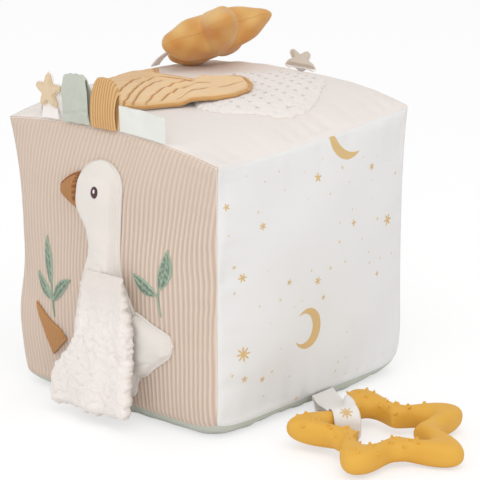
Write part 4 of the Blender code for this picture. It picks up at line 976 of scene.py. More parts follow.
# The goose's loose curly wing: lining, crinkle film and face, hung from the shoulder
# share of the way down, left edge and right edge
wing = {"shoulder": 0.0820, "hem": 0.0055, "standOff": 0.0076, "flare": 0.0065, "rise": 0.0045, "fold": 0.0014, "folds": 2.0,
        "face": 0.0042, "topFace": 0.0006,
        "edges": ((0.00, -0.0018, 0.0222), (0.12, -0.0037, 0.0264), (0.33, -0.0061, 0.0298), (0.45, -0.0079, 0.0306),
                  (0.55, -0.0116, 0.0306), (0.65, -0.0180, 0.0306), (0.75, -0.0238, 0.0308), (0.87, -0.0268, 0.0314),
                  (1.00, -0.0262, 0.0314)),
        "lining": 0.0008, "film": 0.0002, "filmGap": 0.0008, "curlCell": 0.0042, "curl": 0.0010, "fray": 0.0011}


def wingSpot(down, across, lift, fray=0.0):
    # hangs from the shoulder between two drawn edges, with upright folds that grow towards the hem
    length = wing["shoulder"] - wing["hem"]
    edges = smoothTable(wing["edges"], down)
    centre, halfWidth = (edges[..., 0] + edges[..., 1]) / 2, (edges[..., 1] - edges[..., 0]) / 2
    x = centre + (halfWidth + fray * np.abs(across) ** 12) * across
    z = wing["shoulder"] - length * down + wing["rise"] * down**4 * np.maximum(across, 0) ** 4 - fray * down**16
    fold = wing["fold"] * down * np.cos(pi * wing["folds"] * across)
    standOff = wing["standOff"] + wing["fold"] * down + wing["flare"] * down**2 + fold
    flat = onPanel("front", x, z, 0.0)
    flat[..., 1] -= standOff + lift
    return flat


def makeWing():
    down, across = grid(np.linspace(0, 1, 150), np.linspace(-1, 1, 117))
    x, z = wingSpot(down, across, 0.0)[..., 0], wingSpot(down, across, 0.0)[..., 2]
    edge = np.minimum(np.minimum(down, 1 - down) * 0.075, (1 - np.abs(across)) * 0.025)
    warpX, warpZ = (t + 0.0014 * ripple(x, z, seed, 0.009) for t, seed in ((x, 66), (z, 67)))
    curl = sum(share * curls(warpX, warpZ, 61 + k, wing["curlCell"] * size) for k, (share, size) in
               enumerate(((0.45, 1.0), (0.33, 0.6), (0.22, 0.35))))
    grown = fadeIn(down, 0.0, 0.42)
    thick = wing["topFace"] + (wing["face"] * 0.85 - wing["topFace"]) * grown
    plump = thick * roundEdge(edge, 0.001 + 0.004 * grown)
    fray = wing["fray"] * (0.7 * ripple(x, z, 63, 0.007) + 0.5 * ripple(x, z, 64, 0.003))
    faceLift = wing["lining"] + wing["film"] + 2 * wing["filmGap"]
    round = fadeIn(edge, 0, 0.002)
    relief = wing["curl"] * (curl - 0.35) * (0.4 + 0.6 * round) * (0.15 + 0.85 * grown)
    hollow = faceLift * (0.10 + 0.90 * fadeIn(down, 0.0, 0.09))
    outer = wingSpot(down, across, hollow + plump + relief + 0.0004, fray)
    opened = fadeIn(edge, 0.0008, 0.0026) * (0.42 + 0.58 * fadeIn(down, 0.02, 0.09))
    inner = wingSpot(down, across, faceLift * opened, fray)
    # painted light on the curls' tops and painted shade between them, darker towards the shoulder where the wing faces
    # up
    marks = np.concatenate([(curl * grown).ravel(), np.full(curl.size, 0.4)])
    face = addPiece("gooseWingFace", thickSkin(outer, inner), bouclePile, "goose_wing", ["goose_wing_face"],
                    marks={"curl": marks}, sharp=120)
    down, across = grid(np.linspace(0.035, 0.965, 80), np.linspace(-0.90, 0.90, 60))
    lining = addPiece("gooseWingLining", thickSkin(wingSpot(down, across, wing["lining"]), wingSpot(down, across, 0.0)),
                      whiteVelour, "goose_wing", ["goose_wing_lining"])
    inset = 0.93
    down, across = 0.5 + (down - 0.5) * inset, across * inset
    crinkle = 0.00025 * np.abs(ripple(down * 0.075, across * 0.03, 65, 0.006))
    near = wing["lining"] + wing["filmGap"] * 0.6 + crinkle
    film = addPiece("gooseWingFilm", thickSkin(wingSpot(down, across, near + wing["film"]), wingSpot(down, across, near)),
                    crinkleFilm, "goose_wing", ["goose_wing_film"])


makeWing()
print("goose wing made")

# The quilted patch of scallops on the top panel
patch = {"centre": (0.0185, 0.0225), "halfLong": 0.0480, "halfShort": 0.0325, "turn": 123.0, "roundness": 3.0,
         "rim": 0.0012, "thickness": 0.0026, "gap": 0.0003, "scale": 0.0100, "row": 0.0066, "groove": 0.0007,
         "fray": 0.0007, "tuft": 0.0007, "dash": 0.0024, "dashRadius": 0.00035}


def patchRadius(x, y):  # 1 on the patch's rim, less inside: |p|^3 + |q|^3 = 1 along its two axes
    turn = radians(patch["turn"])
    dx, dy = x - patch["centre"][0], y - patch["centre"][1]
    p = np.abs((dx * math.cos(turn) + dy * math.sin(turn)) / patch["halfLong"])
    q = np.abs((dy * math.cos(turn) - dx * math.sin(turn)) / patch["halfShort"])
    return (p ** patch["roundness"] + q ** patch["roundness"]) ** (1 / patch["roundness"])


def scallops(p, q):
    # overlapped rounds in staggered rows: the foremost row covers; gives the swell inside one and the gap to its rim
    radius = patch["scale"] * 0.56
    row = np.floor(p / patch["row"])
    swell, rim, covered = np.zeros(p.shape), np.full(p.shape, 1.0), np.zeros(p.shape, bool)
    for k in (1, 0, -1, -2):
        line = row + k
        shift = 0.5 * (line % 2)
        column = np.round(q / patch["scale"] - shift) + shift
        a, b = p - line * patch["row"], q - column * patch["scale"]
        away = np.hypot(a, b)
        here = (away < radius) & ~covered
        swell = np.where(here, np.sqrt(np.clip(1 - (away / radius) ** 2, 0, 1)), swell)
        rim = np.where(here, radius - away, rim)
        covered |= here
    return swell, rim


def patchTurned(p, q):  # from the patch's own axes to the panel's
    heading = radians(patch["turn"])
    x = patch["centre"][0] + p * math.cos(heading) - q * math.sin(heading)
    return x, patch["centre"][1] + p * math.sin(heading) + q * math.cos(heading)


def patchHeight(p, q, out):  # the quilted cloth: a hem, the stuffing's swell, and the scallops' rounds with their grooves
    swell, rim = scallops(p, q)
    groove = bell(rim, 0.0008) * fadeIn(ripple(p, q, 75, 0.007), -0.9, 0.4)
    inside = (1 - out) * patch["halfShort"]
    height = patch["rim"] * roundEdge(inside, 0.0012)
    height = height + (patch["thickness"] - patch["rim"]) * fadeIn(inside, 0.0, 0.012)
    tuft = patch["tuft"] * (0.6 * curls(p, q, 73, 0.0024) + 0.4 * curls(p, q, 74, 0.0013) - 0.5)
    return height + (0.0004 * (swell - 0.5) - patch["groove"] * groove + tuft) * fadeIn(inside, 0.0006, 0.004)


def makePatch():
    out, turn = grid(np.linspace(0, 1, 100), fullTurn(360))
    power = patch["roundness"]
    rounding = (np.abs(np.cos(turn)) ** power + np.abs(np.sin(turn)) ** power) ** (-1 / power)
    frayed = 1 + patch["fray"] * ripple(np.cos(turn) * 0.05, np.sin(turn) * 0.05, 71, 0.006) * out**20 / patch["halfShort"]
    p = patch["halfLong"] * out * np.cos(turn) * rounding * frayed
    q = patch["halfShort"] * out * np.sin(turn) * rounding * frayed
    x, y = patchTurned(p, q)
    skin = sewnSkin("top", x, y, patch["gap"] + patchHeight(p, q, out), -0.0001, wrap=True)
    piece = addPiece("scallopPatch", skin, patchPlush, "block", ["feather_patch"], sharp=120)
    skins = []
    reach = int(patch["halfLong"] / patch["row"]) + 1
    for row in range(-reach, reach):
        for column in range(-6, 7):
            middle = (column + 0.5 * (row % 2)) * patch["scale"]
            along = np.linspace(-0.5, 0.5, 6) * patch["dash"]
            q = middle + along
            p = row * patch["row"] + np.sqrt((patch["scale"] * 0.56) ** 2 - along**2)
            x, y = patchTurned(p, q)
            out = patchRadius(x, y)
            if out.max() > 0.88:
                continue
            radius = patch["dashRadius"]
            lift = patch["gap"] + patchHeight(p, q, out) + radius * 0.3
            skins.append(threadSkin(lambda height: onPanel("top", x, y, height), lift, radius, radius))
    addPiece("scallopStitches", joinSkins(skins), dashThread, "block")


# The lifting wing on the top: face with stitched feathers and a satin edge, over its film and lining
flap = {"side": ((-0.65, -0.12), (-0.66, 0.03), (-0.64, 0.14), (-0.61, 0.24)),
        "lead": ((-0.20, -0.44), (-0.08, -0.39), (0.03, -0.30), (0.13, -0.23), (0.21, -0.15), (0.25, -0.05)),
        "tips": ((0.25, -0.05), (0.22, 0.10), (0.13, 0.21), (0.02, 0.28), (-0.06, 0.28), (-0.11, 0.20), (-0.20, 0.13),
                 (-0.34, 0.105), (-0.45, 0.10), (-0.52, 0.15), (-0.61, 0.24)),
        "scale": 0.1, "face": 0.0009, "lining": 0.0005, "film": 0.0002, "filmGap": 0.0004, "gap": 0.0003,
        "patch": 0.0022, "puff": 0.0005, "groove": 0.0003, "satinWidth": 0.0011, "satinHeight": 0.0011,
        "threadRadius": 0.00030,
        # start on the leading edge, where the line heads first, and its end at the tips
        "feathers": (((-0.0319, -0.0356), (-0.0387, -0.0231), (-0.0453, -0.0111), (-0.0465, -0.0035)),
                     ((-0.0216, -0.0391), (-0.0327, -0.0191), (-0.0387, -0.0085), (-0.0397, 0.0008)),
                     ((-0.0175, -0.0364), (-0.0255, -0.0235), (-0.0312, -0.0114), (-0.0325, -0.0009)),
                     ((-0.0107, -0.0329), (-0.0169, -0.0203), (-0.0211, -0.0088), (-0.0232, 0.0026), (-0.0198, 0.0094)),
                     ((-0.0054, -0.0275), (-0.0108, -0.0156), (-0.0144, -0.0037), (-0.0117, 0.0010), (-0.0040, 0.0069)),
                     ((0.0025, -0.0219), (0.0020, -0.0132), (0.0022, -0.0055), (0.0058, 0.0020), (0.0081, 0.0110),
                      (0.0086, 0.0190)),
                     ((-0.0439, 0.0014), (-0.0363, 0.0040), (-0.0281, 0.0066), (-0.0163, 0.0077)))}


def readLine(points, steps):  # spots along a line of given points, evenly by its length
    line = np.array(points, float)
    length = travel(line)
    place = np.asarray(steps) * length[-1]
    return np.stack([np.interp(place, length, line[:, k]) for k in range(2)], axis=-1)


def roundLine(points, count):  # the same line with its bends rounded by three rounds of corner cutting
    line = np.array(points, float)
    for _ in range(3):
        near, far = line[:-1] * 0.75 + line[1:] * 0.25, line[:-1] * 0.25 + line[1:] * 0.75
        line = np.concatenate([line[:1], np.stack([near, far], axis=1).reshape(-1, 2), line[-1:]])
    return readLine(line, np.linspace(0, 1, count))


def flapPlan(across, along):  # four border lines filled in between: both blends added and the corners' blend taken off
    u, v = across[..., None], along[..., None]
    scale = flap["scale"]
    root = readLine((flap["lead"][0], flap["side"][0]), across) * scale
    tips, lead, side = (readLine(flap[key], by) * scale for key, by in (("tips", across), ("lead", along), ("side", along)))
    corners = ((1 - u) * (1 - v) * np.array(flap["lead"][0]) + u * (1 - v) * np.array(flap["side"][0])
               + (1 - u) * v * np.array(flap["tips"][0]) + u * v * np.array(flap["tips"][-1])) * scale
    return (1 - v) * root + v * tips + (1 - u) * lead + u * side - corners


def overPatch(x, y):  # the height to clear where the flap lies on the patch
    return (flap["patch"] + flap["gap"]) * fadeIn(-patchRadius(x, y), -1.25, -1.03)


def flapPoint(plan, lift):
    x, y = plan[..., 0], plan[..., 1]
    return onPanel("top", x, y, flap["gap"] + overPatch(x, y) + 0.0004 + lift)


def makeFlap():
    across, along = grid(np.linspace(0, 1, 210), np.linspace(0, 1, 150))
    plan = flapPlan(across, along)
    lead, tips = readLine(flap["lead"], np.linspace(0, 1, 60)), readLine(flap["tips"], np.linspace(0, 1, 120))
    border = np.concatenate([lead, tips[1:], readLine(flap["side"], np.linspace(1, 0, 40))[1:]]) * flap["scale"]
    edge, travelled = nearLine(plan[..., 0], plan[..., 1], border)
    seam = np.full(edge.shape, 1.0)
    feathers = [np.concatenate([[1.3 * np.array(line[0]) - 0.3 * np.array(line[1])], line]) for line in flap["feathers"]]
    for line in feathers:
        seam = np.minimum(seam, nearLine(plan[..., 0], plan[..., 1], roundLine(line, 40))[0])
    inside = fadeIn(edge, 0.0006, 0.0028)
    puff = flap["puff"] * roundEdge(seam, 0.004) * inside
    valley = flap["groove"] * bell(seam, 0.0005) * inside
    soft = 0.0003 * ripple(plan[..., 0], plan[..., 1], 83, 0.011) * inside
    hollow = flap["film"] + 2 * flap["filmGap"]
    base = flap["lining"] + 0.0001 + hollow * fadeIn(edge, 0.0006, 0.0026)
    top = base + flap["face"] * (0.75 + 0.25 * inside) + puff - valley + soft
    # the mark follows the stitched feather lines (thread colour) and adds painted shade over the flap's left part
    shade = bell(seam, 0.0008) + 0.45 * fadeIn(-plan[..., 0], 0.022, 0.058)
    marks = np.concatenate([np.clip(shade, 0, 1).ravel(), np.zeros(seam.size)])
    face = addPiece("wingFlapFace", thickSkin(flapPoint(plan, top), flapPoint(plan, base)), wingPeach, "wing_flap",
                    ["wing_flap_face"], plan.reshape(-1, 2), {"line": marks})
    threads = []
    for line in feathers:
        plan = roundLine(line, 60)
        near = nearLine(plan[..., 0], plan[..., 1], border)[0]
        inside = fadeIn(near, 0.0006, 0.0028)
        lift = flap["lining"] + 0.0001 + hollow * fadeIn(near, 0.0006, 0.0026) + flap["face"] * (0.75 + 0.25 * inside)
        lift = lift + (0.0003 * ripple(plan[..., 0], plan[..., 1], 83, 0.011) - flap["groove"]) * inside + 0.00018
        threads.append(threadSkin(lambda height: flapPoint(plan, height), lift, flap["threadRadius"], flap["threadRadius"]))
    addPiece("wingFlapStitching", joinSkins(threads), brownThread, "wing_flap")
    inner = roundLine(border, 420)
    path = flapPoint(inner, flap["satinHeight"] + 0.0001)
    satin = threadSkin(lambda height: flapPoint(inner, height), flap["satinHeight"] + 0.0001, flap["satinWidth"],
                       flap["satinHeight"], 14)
    run = travel(path)
    uv = np.stack([np.repeat(run, 14), np.tile(np.linspace(0, 0.008, 14), len(run))], axis=-1)
    addPiece("wingFlapSatinEdge", satin, satinOchre, "wing_flap", uv=uv)
    across, along = grid(np.linspace(0, 1, 60), np.linspace(0, 1, 40))
    plan = flapPlan(across, along)
    skin = thickSkin(flapPoint(plan, flap["lining"]), flapPoint(plan, 0.0))
    lining = addPiece("wingFlapLining", skin, creamCotton, "wing_flap", ["wing_flap_lining"],
                      plan.reshape(-1, 2))
    inset = 0.88
    plan = flapPlan(0.5 + (across - 0.5) * inset, 0.5 + (along - 0.5) * inset)
    near = flap["lining"] + 0.00025 + 0.0001 * np.abs(ripple(plan[..., 0], plan[..., 1], 85, 0.006))
    skin = thickSkin(flapPoint(plan, near + flap["film"]), flapPoint(plan, near))
    film = addPiece("wingFlapFilm", skin, crinkleFilm, "wing_flap", ["wing_flap_film"])


makePatch()
makeFlap()
print("top patch and flap made")

# Tags caught in the top seams
tags = {"seamGap": 0.0006, "starX": -0.0408, "starHeight": 0.0145, "starTip": 0.0098, "starNotch": 0.0052, "feltRim": 0.0011,
        "felt": 0.0010, "velour": 0.0020, "stemHalf": 0.0065, "rearX": -0.0024, "rearHeight": 0.0046, "rearGrow": 1.14,
        "rearLean": 66.0, "rearSpin": 36.0, "rearSkew": -0.9, "sageX": -0.0200, "sageWidth": 0.0195, "sageHeight": 0.0262,
        "sageLean": -0.0010,
        "ochreWidth": 0.0180, "ochreHeight": 0.0252, "ochreLean": 0.0030, "between": 0.0010, "ribbon": 0.0009,
        "root": 0.0006, "hollow": 0.0014, "ochreRibs": 10, "labelWidth": 0.0316, "labelHeight": 0.0135,
        "labelThickness": 0.0008}
tags["ochreX"] = tags["sageX"] + tags["sageWidth"] / 2 + tags["between"] + tags["ochreWidth"] / 2
tags["labelX"] = tags["ochreX"] + tags["ochreWidth"] / 2 + tags["between"] + tags["labelWidth"] / 2


def frontSeam(x):
    return blockPoint(x / half, -1.0, 1.0)


def backSeam(x):
    return blockPoint(x / half, 1.0, 1.0)


def makeLoop(name, node, body, material, x, width, height, lean, ribbed):
    # a folded tape: up the front, over a half round, down the back, bulged in between by hollow x sin(pi up)^0.7
    rise = np.linspace(0, 1, 46)
    bulge = tags["root"] / 2 + (tags["hollow"] - tags["root"] / 2) * np.sin(pi * rise) ** 0.7
    bend = np.linspace(0, pi, 15)[1:-1]
    thickness = tags["ribbon"]
    fold = bulge[-1] + thickness / 2
    top = height - fold - thickness / 2
    y = np.concatenate([-(bulge + thickness / 2), -fold * np.cos(bend), (bulge + thickness / 2)[::-1]])
    z = np.concatenate([top * rise, top + fold * np.sin(bend), (top * rise)[::-1]])
    run = np.stack([np.gradient(y), np.gradient(z)], axis=1)
    out = np.stack([-run[:, 1], run[:, 0]], axis=1) / np.linalg.norm(run, axis=1)[:, None]
    across = np.linspace(-1, 1, 121 if ribbed else 61)
    share = np.clip(z / height, 0, 1)[:, None]
    corner = 1 - (0.09 if ribbed else 0.16) * fadeIn(share, 0.62, 1.0) - 0.02 * np.sin(pi * share)
    droop = 0.0020 * np.abs(across)[None, :] ** 5 * fadeIn(share, 0.55, 1.0)
    if ribbed:
        droop = droop + 0.0050 * np.clip(across, 0, 1)[None, :] ** 2 * share**2
    travelled = np.concatenate([[0], np.cumsum(np.linalg.norm(run[1:], axis=1))])
    if ribbed:
        line = (0.5 + 0.5 * np.cos(pi * tags["ochreRibs"] * (across + 1))) ** 0.8
        relief = 0.00055 * line[None, :] * np.ones((len(y), 1))
    else:
        crease = bell(z[:, None] - 0.0058 - 0.0012 * np.sin(2.2 * across)[None, :], 0.0007) * (out[:, :1] < 0)
        relief = -0.0006 * crease + 0.00035 * ripple(across[None, :] * width, z[:, None], 95, 0.011)
        line = np.zeros_like(across)

    def layer(offset):
        depth = y[:, None] + out[:, :1] * offset
        up = z[:, None] + out[:, 1:] * offset - droop
        place = x + across[None, :] * width / 2 * corner
        foot = frontSeam(x + across * width / 2)[None]
        depth = depth + foot[..., 1] + lean * share**2
        return np.stack([place, depth, up + foot[..., 2] + tags["seamGap"]], axis=-1)

    edge = (1 - np.abs(across))[None, :] * width / 2
    rounded = roundEdge(edge, 0.0006)
    outer, inner = layer((thickness / 2 + relief) * rounded), layer(-thickness / 2 * rounded)
    flat = pairs(across[None, :] * width / 2, travelled[:, None])
    # painted shade: the ridge mark darkens the tape between its ribs
    marks = {"ridge": np.broadcast_to(line, (len(y), len(across)))}
    addPiece(name, thickSkin(outer, inner), material, body, [node], flat, marks, sharp=80)


def starOutline(turn, tip, notch, power=1.0):  # radius = notch + (tip - notch) ((1 + cos 5 turn) / 2)^power
    return notch + (tip - notch) * ((1 + np.cos(5 * turn)) / 2) ** power


def makeStarTag(name, nodes, body, x, seam, height, velour, lean=0.0, skew=0.0, spin=0.0, grow=1.0):
    foot = seam(np.array(x)) + np.array([0.0, 0.0, tags["seamGap"]])
    out, turn = grid(np.linspace(0, 1, 22), fullTurn(160))

    def place(tip, notch, depth, stem):
        radius = starOutline(turn + spin, tip, notch, 1.2) * out
        px, pz = radius * np.sin(turn), radius * np.cos(turn)
        if stem:
            below = np.cos(turn) < -0.55
            floor = seam(x + px)[..., 2] + tags["seamGap"] - foot[2] - height + abs(math.sin(lean)) * np.abs(depth)
            px = np.where(below, np.clip(px * 1.35, -tags["stemHalf"], tags["stemHalf"]), px)
            pz = np.where(below, pz + (floor - pz) * fadeIn(out, 0.35, 1.0), pz)
        else:
            pz = np.maximum(pz, 0.0012 - height)
        depth, rise = -depth + 0 * px, pz + height
        depth, rise = depth * math.cos(lean) + rise * math.sin(lean), rise * math.cos(lean) - depth * math.sin(lean)
        return foot + np.stack([px + skew * depth, depth, rise], axis=-1)

    tip, notch, felt = tags["starTip"] * grow, tags["starNotch"] * grow, tags["felt"] / 2
    rimTip, rimNotch = tip + tags["feltRim"], notch + tags["feltRim"]
    soft = felt * roundEdge(1 - out, 0.08)
    addPiece(name + "Felt", thickSkin(place(rimTip, rimNotch, soft, True), place(rimTip, rimNotch, -soft, True), wrap=True),
             whiteFelt, body, [nodes[0]])
    near = felt + 0.0002
    plump = tags["velour"] * roundEdge(1 - out, 0.30)
    stitch = 0.0006 * bell(out - 0.86, 0.05)
    far = near + 0.0003 + plump - stitch
    piece = addPiece(name + "Velour", thickSkin(place(tip, notch, far, False),
                     place(tip, notch, near + 0 * far, False), wrap=True), velour, body, [nodes[1]])


def makeLabel():
    # a plain folded tape standing in the seam, leaning back a little and bowed
    across, up = np.meshgrid(np.linspace(-1, 1, 90), np.linspace(0, 1, 34))
    foot = frontSeam(tags["labelX"] + across * tags["labelWidth"] / 2)
    bow = 0.0006 * np.cos(pi * across) * up + 0.0004 * ripple(across * 0.016, up * 0.013, 97, 0.012) * up
    edge = np.minimum((1 - np.abs(across)) * tags["labelWidth"] / 2, (1 - up) * tags["labelHeight"] + 0.0003)
    thick = tags["labelThickness"] / 2 * roundEdge(edge, 0.0004)
    seamLine = 0.00012 * bell(edge - 0.0012, 0.0003)
    move = np.stack([0 * bow, bow, tags["seamGap"] + tags["labelHeight"] * up], axis=-1)
    side = np.stack([0 * bow, thick - seamLine, 0 * bow], axis=-1)
    uv = pairs(across * tags["labelWidth"] / 2, up * tags["labelHeight"])
    skin = thickSkin(foot + move - side, foot + move + side)
    addPiece("seamLabel", skin, labelTape, "label", ["seam_label"], uv)


makeLoop("sageLoop", "sage_tag_loop", "sage_loop", sageVelour, tags["sageX"], tags["sageWidth"],
         tags["sageHeight"], tags["sageLean"], False)
makeLoop("ochreLoop", "ochre_tag_loop", "ochre_loop", ochreCord, tags["ochreX"], tags["ochreWidth"],
         tags["ochreHeight"], tags["ochreLean"], True)
makeStarTag("frontStarTag", ("star_tag_felt", "star_tag_velour"), "star_tag", tags["starX"], frontSeam, tags["starHeight"],
            creamVelour)
# the rear tag wears the cream velour darkened to grey: painted shade
makeStarTag("rearStarTag", ("rear_star_tag_felt", "rear_star_tag_velour"), "rear_star_tag", tags["rearX"], backSeam,
            tags["rearHeight"], shadedCreamVelour, radians(tags["rearLean"]), tags["rearSkew"], radians(tags["rearSpin"]),
            tags["rearGrow"])
makeLabel()
print("tags made")

# The plush star on its ribbon
plush = {"centre": (-0.0465, 0.0550, 0.1763), "tip": 0.0345, "notch": 0.0176, "half": 0.0120, "cover": 0.0012, "turn": -7.5,
         "heading": 47.0, "noseUp": 17.0, "nearUp": 24.0, "slim": 0.46, "wrinkle": 0.0012, "ribbonY": 0.0385,
         "ribbonWidth": 0.0070, "ribbonGap": 0.0040, "ribbon": 0.0010}


def plushAxes():  # right arm, away from the viewer, and up through the star
    turn, heading, near, nose = (radians(plush[key]) for key in ("turn", "heading", "nearUp", "noseUp"))
    right = np.array([math.cos(heading), math.sin(heading), 0.0])
    away, up = np.array([-right[1], right[0], 0.0]), np.array([0.0, 0.0, 1.0])
    away, up = away * math.cos(near) - up * math.sin(near), up * math.cos(near) + away * math.sin(near)
    right, up = right * math.cos(nose) + up * math.sin(nose), up * math.cos(nose) - right * math.sin(nose)
    return right * math.cos(turn) + away * math.sin(turn), away * math.cos(turn) - right * math.sin(turn), up


def plushGrid(out, turn, inset, direction):
    # a pillow on a star: height = half x (1 - out^3.2)^0.55, with gathers that run in from the notches
    radius = (starOutline(turn, plush["tip"], plush["notch"]) - inset) * out
    slim = 1 - plush["slim"] * (0.6 + 0.4 * np.cos(turn)) * (1 + np.cos(5 * turn)) / 2 * out**2
    pillow = (plush["half"] - inset) * np.clip(1 - out**3.2, 0, 1) ** 0.55 * slim + 0.00004
    gather = np.cos(5 * turn + pi) ** 9 * out**3 * (1 - out) * 4
    p, q = radius * np.cos(turn), radius * np.sin(turn)
    crease = ripple(p, q + direction * 0.1, 101, 0.016) * out * np.clip(1 - out**6, 0, 1)
    height = pillow * (1 - 0.16 * np.maximum(gather, 0)) + plush["wrinkle"] * crease * (inset < 0.0005)
    height = np.maximum(height, 0.00004)
    right, away, up = plushAxes()
    plan = p[..., None] * right + q[..., None] * away
    return np.array(plush["centre"]) + plan + direction * height[..., None] * up


def makePlushStar():
    out, turn = grid(np.sin(np.linspace(0, pi / 2, 60)), fullTurn(240))
    for name, direction in (("Upper", 1), ("Lower", -1)):
        outer = plushGrid(out, turn, 0.0, direction)
        slow = ripple(outer[..., 0] + outer[..., 1], outer[..., 2], 103, 0.016)
        # the mark is random mottle plus painted light: lighter towards the star's top and left side, painted shade
        # below
        mottleAndPaintedLight = 0.4 + 0.3 * slow + 22 * (outer[..., 2] - plush["centre"][2]) - 8 * (outer[..., 0] - plush["centre"][0])
        skin = thickSkin(outer, plushGrid(out, turn, plush["cover"], direction), wrap=True)
        piece = addPiece("plushStar" + name, skin, mustardVelour, "plush_star", ["plush_star_" + name.lower()],
                         marks={"mottleAndPaintedLight": np.clip(mottleAndPaintedLight, 0, 1)}, sharp=120)
    core = plush["cover"] + 0.0004
    skin = thickSkin(*(plushGrid(out[::2, ::2], turn[::2, ::2], core, direction) for direction in (1, -1)), wrap=True)
    piece = addPiece("plushStarWadding", skin, fluffyWadding, "plush_star", ["plush_star_wadding"], sharp=120)
    start = blockPoint(-1.0, plush["ribbonY"] / half, 1.0) + np.array([-0.0009, 0.0, 0.0006])
    right, away, up = plushAxes()
    end = np.array(plush["centre"]) - (plush["notch"] + plush["ribbonGap"]) * right
    t = np.linspace(0, 1, 40)[:, None]
    line = start + (end - start) * t + np.array([-plush["ribbonWidth"] / 3, 0.0, 0.0]) * np.sin(pi * t)
    across = unit(np.array([0.0, 1.0, 0.0]) * (1 - t) + away * t)
    side = unit(np.cross(np.gradient(line, axis=0), across))
    width = np.linspace(-1, 1, 21)[None, :, None] * plush["ribbonWidth"] / 2
    edge = roundEdge(1 - np.abs(np.linspace(-1, 1, 21)), 0.12)[None, :, None]
    sheet = line[:, None] + across[:, None] * width
    thick = side[:, None] * plush["ribbon"] / 2 * edge
    skin = thickSkin(sheet + thick, sheet - thick)
    addPiece("plushStarRibbon", skin, whiteFelt, "plush_star", ["plush_star_ribbon"])


makePlushStar()
print("plush star made")

# The rubber star ring and its nubs
teether = {"centre": (0.1420, -0.0236), "tip": 0.0490, "notch": 0.0298, "rimPower": 1.7, "holeTip": 0.0272, "holeNotch": 0.0155,
           "thickness": 0.0132, "notchThickness": 0.0116, "turn": 3.0, "tilt": 3.0, "crossing": 6.0, "squareness": 0.86,
           "nubRadius": 0.0010, "nubHeight": 0.0013, "nubFrom": 88, "nubTo": 345, "nubs": 62, "free": (30.0, 20.0)}


def teetherFrame():
    tilt = radians(teether["tilt"])
    ahead, up = np.array([math.cos(tilt), 0.0, -math.sin(tilt)]), np.array([math.sin(tilt), 0.0, math.cos(tilt)])
    drop = (teether["tip"] + teether["holeTip"]) / 2 * math.sin(tilt)
    return ahead, np.array([0.0, 1.0, 0.0]), up, np.array([*teether["centre"], teether["thickness"] / 2 + drop + 0.00005])


def teetherSection(star):  # the hole's radius, the rim's radius and half the thickness at an angle from the first arm
    hole = starOutline(star, teether["holeTip"], teether["holeNotch"])
    rim = starOutline(star, teether["tip"], teether["notch"], teether["rimPower"])
    return hole, rim, starOutline(star, teether["thickness"], teether["notchThickness"]) / 2


def teetherPoint(turn, angle):
    # a rounded section carried round between two star outlines: outward share and height follow cos and sin^squareness
    ahead, aside, up, centre = teetherFrame()
    star = turn - radians(teether["turn"])
    hole, rim, thick = teetherSection(star)
    power = teether["squareness"]
    outward = 0.5 + 0.5 * np.sign(np.cos(angle)) * np.abs(np.cos(angle)) ** power
    height = thick * np.sign(np.sin(angle)) * np.abs(np.sin(angle)) ** power
    radius = hole + (rim - hole) * outward
    ring = radius[..., None] * (np.cos(turn)[..., None] * ahead + np.sin(turn)[..., None] * aside)
    return centre + ring + height[..., None] * up


def makeTeether():
    turn, angle = grid(np.linspace(0, 2 * pi, 361), fullTurn(48))
    points = teetherPoint(turn, angle)
    skins = [(points.reshape(-1, 3), quads(361, 48, wrap=True))]
    start, end = radians(teether["turn"] + teether["nubFrom"]), radians(teether["turn"] + teether["nubTo"])
    strapTurn = radians(180 + teether["turn"] + teether["crossing"])
    sections = np.radians((62, 118, 90, 35, 145, 76))
    for number, place in enumerate(np.linspace(start, end, teether["nubs"])):
        if -teether["free"][0] < math.degrees(place - strapTurn) < teether["free"][1]:
            continue
        section = sections[number % len(sections)]
        spots = teetherPoint(np.array([place, place + 0.01, place]), np.array([section, section, section + 0.02]))
        forward, aside = unit(spots[1] - spots[0]), unit(spots[2] - spots[0])
        away = unit(np.cross(aside, forward))
        away = away * np.sign(np.dot(away, spots[0] - teetherPoint(np.array([place]), np.array([section + pi]))[0]))
        rings, around = grid(np.array([1.5, 1.0, 0.72, 0.5, 0.28, 0.0]), fullTurn(10))
        rise = np.array([-0.35, 0.12, 0.62, 0.90, 1.0, 1.02])[:, None] * teether["nubHeight"] + 0 * around
        radius = rings * teether["nubRadius"]
        cone = spots[0] + (radius * np.cos(around))[..., None] * forward + (radius * np.sin(around))[..., None] * aside
        cone = cone + rise[..., None] * away
        base = spots[0] - away * 0.0012 + 0 * cone[:1]
        skins.append((np.concatenate([base, cone]).reshape(-1, 3), quads(7, 10, wrap=True)))
    addPiece("starTeether", joinSkins(skins), toyRubber, "teether", ["teether_star"], sharp=80)


# The printed strap from the bottom right seam, over the ring's notch and back under it
strap = {"seamY": 0.0040, "half": 0.0071, "thickness": 0.0007, "rootGap": 0.0008, "parting": 0.0005, "clearance": 0.0007,
         "roof": 0.0011, "floorGap": 0.0002, "ringGap": 0.0002, "roundness": 0.84, "archFrom": 145, "starSize": 0.0037,
         "starPlace": 0.435}


